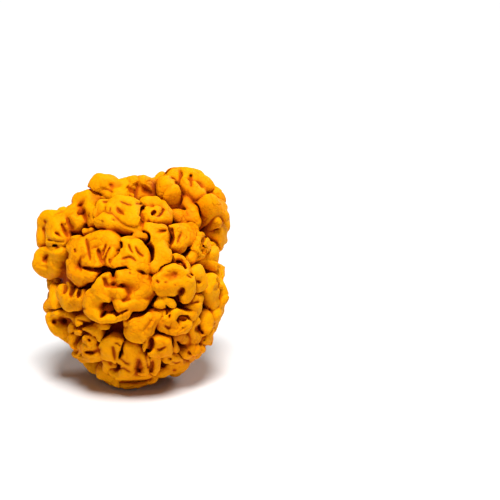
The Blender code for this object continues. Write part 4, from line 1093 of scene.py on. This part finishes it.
def mesh_from(name, corners, faces):
    """A mesh from arrays of corners and four-sided faces."""
    mesh = bpy.data.meshes.new(name)
    mesh.vertices.add(len(corners))
    mesh.vertices.foreach_set("co", corners.astype(np.float32).ravel())
    mesh.loops.add(4 * len(faces))
    mesh.loops.foreach_set("vertex_index", faces.astype(np.int32).ravel())
    mesh.polygons.add(len(faces))
    mesh.polygons.foreach_set("loop_start", np.arange(0, 4 * len(faces), 4, dtype=np.int32))
    mesh.update(calc_edges=True)
    mesh.validate()
    return mesh


def corner_array(mesh):
    """A mesh's corners as an array."""
    values = np.empty(3 * len(mesh.vertices), np.float32)
    mesh.vertices.foreach_get("co", values)
    return values.reshape(-1, 3)


def evaluated(thing):
    """The object's mesh with its modifiers applied; the object itself is removed."""
    graph = bpy.context.evaluated_depsgraph_get()
    mesh = bpy.data.meshes.new_from_object(thing.evaluated_get(graph))
    bpy.data.objects.remove(thing)
    return mesh


def add_values(mesh, name, values):
    """Stores one number for each corner of a mesh."""
    layer = mesh.attributes.new(name, "FLOAT", "POINT")
    layer.data.foreach_set("value", values.astype(np.float32))


# From here on, lengths are in metres in the part's own frame.
# Noises of the skin's paint: (scale, detail, roughness).
NOISES = {
    "mottle": (140.0, 3.0, 0.6),
    "patches": (45.0, 2.0, 0.5),
    "speckle": (520.0, 2.0, 0.6),
    "veins": (250.0, 1.0, 0.4),
    "pleats": (420.0, 2.0, 0.5),
    "pores": (1500.0, 3.0, 0.6),
}
# What paints shade on the skin, paints deep shade between folds and warms it: (measure, none here, all
# here, weight).
SHADED_BY = [
    ("fold_depth", 0.42, 0.63, 1.0),
    ("crease", 0.485, 0.65, 0.65),
    ("painted_crease_shade", 0.1, 0.8, 0.65),
]
DEEP_SHADE_BY = [("fold_depth", 0.55, 0.79, 1.25), ("crease", 0.6, 0.82, 0.5), ("painted_crease_shade", 0.5, 1.0, 0.45)]
WARMED_BY = [("patches", 0.42, 0.62, 0.45), ("mottle", 0.5, 0.68, 0.35), ("speckle", 0.5, 0.66, 0.4)]
# How much the mottles vary the painted shade, the painted deep shade and the roughness.
MOTTLE_SHADE = 0.3
MOTTLE_DEEP_SHADE = 0.2
MOTTLE_ROUGHNESS = 0.3
# Thin wrinkles follow the middle of the veins, where patches and mottles are in these ranges.
WRINKLE_SHARPNESS = 650.0
WRINKLE_PATCHES = (0.46, 0.56)
WRINKLE_MOTTLES = (0.4, 0.55)
WRINKLE_SHADE = 0.32
# Ridges, where the skin stands out more than this, get a painted highlight.
RIDGE_FROM = 0.47
RIDGE_FADE = 0.12
RIDGE_HIGHLIGHT_STRENGTH = 0.35
# Tints of the skin in warm patches and of its painted shade in the folds, and the colour of its painted
# highlight on ridges.
WARM_TINT = (0.91, 0.66, 1.0)
SHADED_TINT = (0.53, 0.23, 1.0)
RIDGE_HIGHLIGHT_COLOUR = (0.92, 0.34, 0.0)
# Grain stops, and the pale flesh begins, this far over the cut face.
GRAIN_FROM = 0.3 * MM
FLESH_FROM = 0.25 * MM
FLESH_FADE = 0.15 * MM
# The relief that the paint adds: how much of it is pleats, pores and thin wrinkles.
PLEAT_SHARPNESS = 12.0
PLEAT_RELIEF = 0.5
PORE_RELIEF = 0.35
WRINKLE_RELIEF = 0.5
RELIEF_STRENGTH = 0.7
RELIEF_HEIGHT = 0.3 * MM
# Hardly any shine, and a little light under the skin.
SHINE = 0.03
GLOW = 0.08
GLOW_COLOUR = (1.0, 0.35, 0.08)
GLOW_DEPTH = 1.2 * MM


class Shade:
    """A socket of a node tree that can be used in Python expressions."""

    def __init__(self, tree, socket=None):
        self.tree = tree
        self.socket = socket

    def give(self, socket, value):
        """Links this kind of value to a socket, or sets it there."""
        if isinstance(value, Shade):
            self.tree.links.new(value.socket, socket)
        elif value is not None:
            socket.default_value = value

    def node(self, kind, output, settings=None, **values):
        """An output of a new node, with its settings made first and then its sockets set or linked."""
        node = self.tree.nodes.new(kind)
        for name, value in (settings or {}).items():
            setattr(node, name, value)
        for name, value in values.items():
            self.give(node.inputs[name], value)
        return Shade(self.tree, node.outputs[output])

    def maths(self, operation, a, b=None):
        node = self.tree.nodes.new("ShaderNodeMath")
        node.operation = operation
        self.give(node.inputs[0], a)
        self.give(node.inputs[1], b)
        return Shade(self.tree, node.outputs["Value"])

    def __add__(self, other):
        return self.maths("ADD", self, other)

    def __radd__(self, other):
        return self.maths("ADD", other, self)

    def __sub__(self, other):
        return self.maths("SUBTRACT", self, other)

    def __rsub__(self, other):
        return self.maths("SUBTRACT", other, self)

    def __mul__(self, other):
        return self.maths("MULTIPLY", self, other)

    def __rmul__(self, other):
        return self.maths("MULTIPLY", other, self)

    def __truediv__(self, other):
        return self.maths("DIVIDE", self, other)

    def __rtruediv__(self, other):
        return self.maths("DIVIDE", other, self)

    def __abs__(self):
        return self.maths("ABSOLUTE", self)

    def clamped(self):
        return self.node("ShaderNodeClamp", "Result", Value=self)

    def between(self, low, high):
        """0 at low, 1 at high, straight between."""
        return ((self - low) / (high - low)).clamped()

    def mixed(self, a, b):
        """Colour a where this is 0 and colour b where it is 1."""
        node = self.tree.nodes.new("ShaderNodeMix")
        node.data_type = "RGBA"
        self.give(node.inputs[0], self)
        for socket, colour in ((node.inputs[6], a), (node.inputs[7], b)):
            self.give(socket, colour if isinstance(colour, Shade) else (*colour, 1.0))
        return Shade(self.tree, node.outputs[2])

    def noise(self, scale, detail, roughness):
        """Noise over this vector."""
        return self.node(
            "ShaderNodeTexNoise", "Fac", Vector=self, Scale=scale, Detail=detail, Roughness=roughness
        )


def skin_grain_tree():
    """Geometry nodes that roughen a skin along its normals by fine wrinkles and grains."""
    tree = bpy.data.node_groups.new("Skin grain", "GeometryNodeTree")
    face = tree.interface
    face.new_socket("Geometry", in_out="INPUT", socket_type="NodeSocketGeometry")
    for name, value in (("Wrinkle depth", 0.12 * MM), ("Wrinkle size", 1.7 * MM)):
        socket = face.new_socket(name, in_out="INPUT", socket_type="NodeSocketFloat")
        socket.subtype = "DISTANCE"
        socket.default_value = value
        socket.min_value = 0.0
    material = face.new_socket("Material", in_out="INPUT", socket_type="NodeSocketMaterial")
    material.description = "The skin"
    face.new_socket("Geometry", in_out="OUTPUT", socket_type="NodeSocketGeometry")
    start = Shade(tree)
    group = tree.nodes.new("NodeGroupInput")
    given = {socket.name: Shade(tree, socket) for socket in group.outputs}
    place = start.node("GeometryNodeInputPosition", "Position")
    normal = start.node("GeometryNodeInputNormal", "Normal")
    amount = (place.noise(1.0 / given["Wrinkle size"], 2.0, 0.55) - 0.5) * given["Wrinkle depth"]
    shift = start.node(
        "ShaderNodeVectorMath", "Vector", {"operation": "SCALE"}, Vector=normal, Scale=amount
    )
    height = start.node("ShaderNodeSeparateXYZ", "Z", Vector=place)
    skin = start.node(
        "GeometryNodeSetPosition",
        "Geometry",
        Geometry=given["Geometry"],
        Selection=start.maths("GREATER_THAN", height, GRAIN_FROM),
        Offset=shift,
    )
    skin = start.node("GeometryNodeRealizeInstances", "Geometry", Geometry=skin)
    skin = start.node("GeometryNodeSetMaterial", "Geometry", Geometry=skin, Material=given["Material"])
    result = tree.nodes.new("NodeGroupOutput")
    start.give(result.inputs["Geometry"], skin)
    return tree


def tinted(colour, tint):
    """A colour with each of its parts weakened by the tint's."""
    return tuple(c * t for c, t in zip(colour, tint))


def weighed(measures, parts):
    """The sum of some measures, each from 0 to 1 between its limits and times its weight."""
    total = 0.0
    for name, low, high, weight in parts:
        total = total + measures[name].between(low, high) * weight
    return total


def skin_material(skin, deep, cut, roughness):
    """Matt orange skin with painted shade, redder and darker down in the folds and creases, a painted
    highlight on ridges, and pale flesh on the cut face; deep is the colour of the painted deep shade.
    """
    material = bpy.data.materials.new("Fungus skin")
    material.use_nodes = True
    tree = material.node_tree
    shader = tree.nodes["Principled BSDF"]
    start = Shade(tree)
    place = start.node("ShaderNodeTexCoord", "Object")
    measures = {name: place.noise(*values) for name, values in NOISES.items()}
    for name in ("fold_depth", "crease", "painted_crease_shade"):
        measures[name] = start.node("ShaderNodeAttribute", "Fac", {"attribute_name": name})
    mottle = measures["mottle"] - 0.5
    vein = measures["veins"] - 0.5
    # Thin wandering wrinkles, in some patches only, pressed in by the bump and given painted shade.
    thin = 1.0 - (vein * vein * WRINKLE_SHARPNESS).clamped()
    thin = thin * measures["patches"].between(*WRINKLE_PATCHES)
    thin = thin * measures["mottle"].between(*WRINKLE_MOTTLES)
    # Painted shade in folds, creases and thin wrinkles, and painted deep shade down between folds.
    shaded = (weighed(measures, SHADED_BY) + mottle * MOTTLE_SHADE + thin * WRINKLE_SHADE).clamped()
    deep_shade = (weighed(measures, DEEP_SHADE_BY) + mottle * MOTTLE_DEEP_SHADE).clamped()
    warm = weighed(measures, WARMED_BY).clamped()
    # A painted highlight on the ridges.
    ridge = (RIDGE_FROM - measures["crease"]).between(0.0, RIDGE_FADE) * RIDGE_HIGHLIGHT_STRENGTH
    colour = warm.mixed(skin, tinted(skin, WARM_TINT))
    colour = ridge.mixed(colour, RIDGE_HIGHLIGHT_COLOUR)
    colour = shaded.mixed(colour, tinted(skin, SHADED_TINT))
    colour = deep_shade.mixed(colour, deep)
    height = start.node("ShaderNodeSeparateXYZ", "Z", Vector=place)
    colour = (FLESH_FROM - height).between(0.0, FLESH_FADE).mixed(colour, cut)
    pleat = (abs(measures["pleats"] - 0.5) * PLEAT_SHARPNESS).clamped()
    relief = pleat * PLEAT_RELIEF + measures["pores"] * PORE_RELIEF - thin * WRINKLE_RELIEF
    bump = start.node(
        "ShaderNodeBump", "Normal", Strength=RELIEF_STRENGTH, Distance=RELIEF_HEIGHT, Height=relief
    )
    for name, value in (
        ("Base Color", colour),
        ("Roughness", roughness + mottle * MOTTLE_ROUGHNESS),
        ("Metallic", 0.0),
        ("Specular IOR Level", SHINE),
        ("Subsurface Weight", GLOW),
        ("Subsurface Radius", GLOW_COLOUR),
        ("Subsurface Scale", GLOW_DEPTH),
        ("Normal", bump),
    ):
        start.give(shader.inputs[name], value)
    return material


def size_property(name, default, low, high, description):
    """A size in a panel, given in millimetres."""
    return FloatProperty(
        name=name,
        description=description,
        default=default * MM,
        min=low * MM,
        max=high * MM,
        subtype="DISTANCE",
        unit="LENGTH",
        precision=5,
    )


def colour_property(name, default, description):
    """A colour in a panel."""
    return FloatVectorProperty(
        name=name, description=description, default=default, subtype="COLOR", min=0.0, max=1.0
    )


class FungusProperties(bpy.types.PropertyGroup):
    """Sizes and colours of the fungus and its stage."""

    field_cell: size_property(
        "Modelling cell", 0.32, 0.2, 1.0, "Side of the cubes that the folds are modelled in"
    )
    fold_gap: size_property(
        "Gap between folds", 0.25, 0.0, 2.0, "Width of the crevice between two neighbouring folds"
    )
    fold_bulge: size_property(
        "Bulge of a fold", 2.2, 0.0, 6.0, "How much lower a fold is at its own edge than in its middle"
    )
    wrinkle_depth: size_property(
        "Wrinkle depth", 0.2, 0.0, 1.0, "Height of the finest wrinkles of the skin"
    )
    wrinkle_size: size_property(
        "Wrinkle size", 1.7, 0.3, 5.0, "Width of the finest wrinkles of the skin"
    )
    fold_seed: IntProperty(
        name="Seed", description="Which folds grow on the sides and the back", default=FOLD_SEED, min=0
    )
    skin_colour: colour_property(
        "Skin", (0.86, 0.332, 0.0), "Colour of the skin on top of the folds"
    )
    # The colour of the painted deep shade between the folds.
    deep_shade_colour: colour_property(
        "Painted shade deep in the folds", (0.12, 0.007, 0.0), "Colour of the skin down between the folds"
    )
    cut_colour: colour_property(
        "Cut face", (0.80, 0.52, 0.22), "Colour of the flesh on the flat cut"
    )
    roughness: FloatProperty(
        name="Roughness",
        description="Roughness of the skin",
        default=0.62,
        min=0.0,
        max=1.0,
        subtype="FACTOR",
    )
    floor_colour: colour_property("Floor", (0.70, 0.70, 0.70), "Colour of the plain floor")


class FUNGUS_OT_fruiting_body(bpy.types.Operator):
    """Grow the fruiting body: its folds, its solid middle and the flat cut under it"""

    bl_idname = "fungus.fruiting_body"
    bl_label = "Fruiting Body"

    def execute(self, context):
        sizes = context.scene.fungus
        bulge = sizes.fold_bulge / MM
        gap = sizes.fold_gap / MM
        field = FoldField(sizes.field_cell / MM, sizes.fold_seed)
        for fold, grooves in scattered_folds(sizes.fold_seed, bulge):
            field.add_fold(fold, gap)
            for groove in grooves:
                field.cut_groove(groove)
        for fold, joined in front_folds(bulge):
            field.add_fold(fold, gap, joined)
        field.add_core()
        for hollow in FRONT_HOLLOWS:
            field.press_hollow(*hollow)
        for crease in FRONT_CREASES:
            field.press_crease(*crease)
        field.pucker()
        field.cut_flat()
        corners, faces = outer_shell(*field.skin())
        thing = bpy.data.objects.new("dense skin", mesh_from("dense skin", corners, faces))
        context.scene.collection.objects.link(thing)
        thin = thing.modifiers.new("fewer faces", "DECIMATE")
        thin.ratio = min(1.0, FACE_LIMIT / (2 * len(faces)))
        mesh = evaluated(thing)
        places = corner_array(mesh)
        # Measures for the painted shade in folds and creases and the painted highlight on ridges.
        add_values(mesh, "fold_depth", field.sample(field.crowding(BROAD_HOLLOW_REACH), places))
        add_values(mesh, "crease", field.sample(field.crowding(FINE_HOLLOW_REACH), places))
        add_values(mesh, "painted_crease_shade", field.sample(field.lines, places))
        world = places @ np.array(LEAN).T * MM + np.array(BODY_MIDDLE)
        world[:, 2] = np.maximum(world[:, 2], 0.0)
        mesh.vertices.foreach_set("co", world.astype(np.float32).ravel())
        mesh.update()
        material = skin_material(
            tuple(sizes.skin_colour), tuple(sizes.deep_shade_colour), tuple(sizes.cut_colour), sizes.roughness
        )
        body = bpy.data.objects.new("skin", mesh)
        context.scene.collection.objects.link(body)
        grain = body.modifiers.new("skin grain", "NODES")
        grain.node_group = skin_grain_tree()
        items = [item for item in grain.node_group.interface.items_tree if item.in_out == "INPUT"]
        sockets = {item.name: item.identifier for item in items}
        grain[sockets["Wrinkle depth"]] = sizes.wrinkle_depth
        grain[sockets["Wrinkle size"]] = sizes.wrinkle_size
        grain[sockets["Material"]] = material
        skin = evaluated(body)
        skin.name = "folded_body"
        skin.shade_smooth()
        piece = bpy.data.objects.new("folded_body", skin)
        context.scene.collection.objects.link(piece)
        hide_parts("fruiting_body")
        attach(piece, "root")
        return {"FINISHED"}


# Lamps: (name, kind, place, power, angle or width).
LAMPS = [
    ("Key light", "SUN", (0.04, -0.26, 0.73), 5.0, math.radians(24.0)),
    ("Front light", "AREA", (0.0, -0.75, 0.30), 0.4, 0.3),
    ("Back light", "AREA", (0.45, 0.60, 0.45), 3.0, 0.3),
]
SKY_STRENGTH = 0.05
FLOOR_HALF = 2.0
FLOOR_ROUGHNESS = 0.9


def add_light(name, kind, place, power, size):
    """A soft white lamp at a place, turned to the body's middle."""
    lamp = bpy.data.lights.new(name, kind)
    lamp.energy = power
    if kind == "SUN":
        lamp.angle = size
    else:
        lamp.shape = "DISK"
        lamp.size = size
    thing = bpy.data.objects.new(name, lamp)
    thing.location = place
    thing.rotation_euler = (Vector(BODY_MIDDLE) - Vector(place)).to_track_quat("-Z", "Y").to_euler()
    bpy.context.scene.collection.objects.link(thing)


class FUNGUS_OT_stage(bpy.types.Operator):
    """Set out a plain pale floor, soft light and the camera"""

    bl_idname = "fungus.stage"
    bl_label = "Stage"

    def execute(self, context):
        scene = context.scene
        mesh = bpy.data.meshes.new("Floor")
        s = FLOOR_HALF
        mesh.from_pydata([(-s, -s, 0.0), (s, -s, 0.0), (s, s, 0.0), (-s, s, 0.0)], [], [(0, 1, 2, 3)])
        paint = bpy.data.materials.new("Pale floor")
        paint.use_nodes = True
        shader = paint.node_tree.nodes["Principled BSDF"]
        shader.inputs["Base Color"].default_value = (*scene.fungus.floor_colour, 1.0)
        shader.inputs["Roughness"].default_value = FLOOR_ROUGHNESS
        mesh.materials.append(paint)
        floor = bpy.data.objects.new("Floor", mesh)
        scene.collection.objects.link(floor)
        world = bpy.data.worlds.new("Studio")
        world.use_nodes = True
        background = world.node_tree.nodes["Background"]
        background.inputs["Color"].default_value = (1.0, 1.0, 1.0, 1.0)
        background.inputs["Strength"].default_value = SKY_STRENGTH
        scene.world = world
        scene.view_settings.view_transform = "Standard"
        for lamp in LAMPS:
            add_light(*lamp)
        add_camera(scene)
        return {"FINISHED"}


def add_camera(scene):
    """A camera at the eye, square to the front."""
    lens = bpy.data.cameras.new("Camera")
    lens.lens = LENS
    lens.sensor_width = SENSOR
    lens.clip_start = 0.01
    camera = bpy.data.objects.new("Camera", lens)
    camera.location = LEAN @ Vector(EYE) * MM + Vector(BODY_MIDDLE)
    camera.rotation_euler = LEAN.to_euler()
    scene.collection.objects.link(camera)
    scene.camera = camera


class FUNGUS_PT_panel(bpy.types.Panel):
    """Sizes, colours and buttons of the fungus"""

    bl_label = "Golden Ear Fungus"
    bl_idname = "FUNGUS_PT_panel"
    bl_space_type = "VIEW_3D"
    bl_region_type = "UI"
    bl_category = "Fungus"

    def draw(self, context):
        layout = self.layout
        sizes = context.scene.fungus
        for name in FungusProperties.__annotations__:
            layout.prop(sizes, name)
        layout.operator(FUNGUS_OT_fruiting_body.bl_idname)
        layout.operator(FUNGUS_OT_stage.bl_idname)


CLASSES = (FungusProperties, FUNGUS_OT_fruiting_body, FUNGUS_OT_stage, FUNGUS_PT_panel)


def register():
    for thing in CLASSES:
        bpy.utils.register_class(thing)
    bpy.types.Scene.fungus = PointerProperty(type=FungusProperties)


def unregister():
    del bpy.types.Scene.fungus
    for thing in reversed(CLASSES):
        bpy.utils.unregister_class(thing)


def main():
    register()
    bpy.ops.fungus.fruiting_body()
    bpy.ops.fungus.stage()


if __name__ == "__main__":
    main()
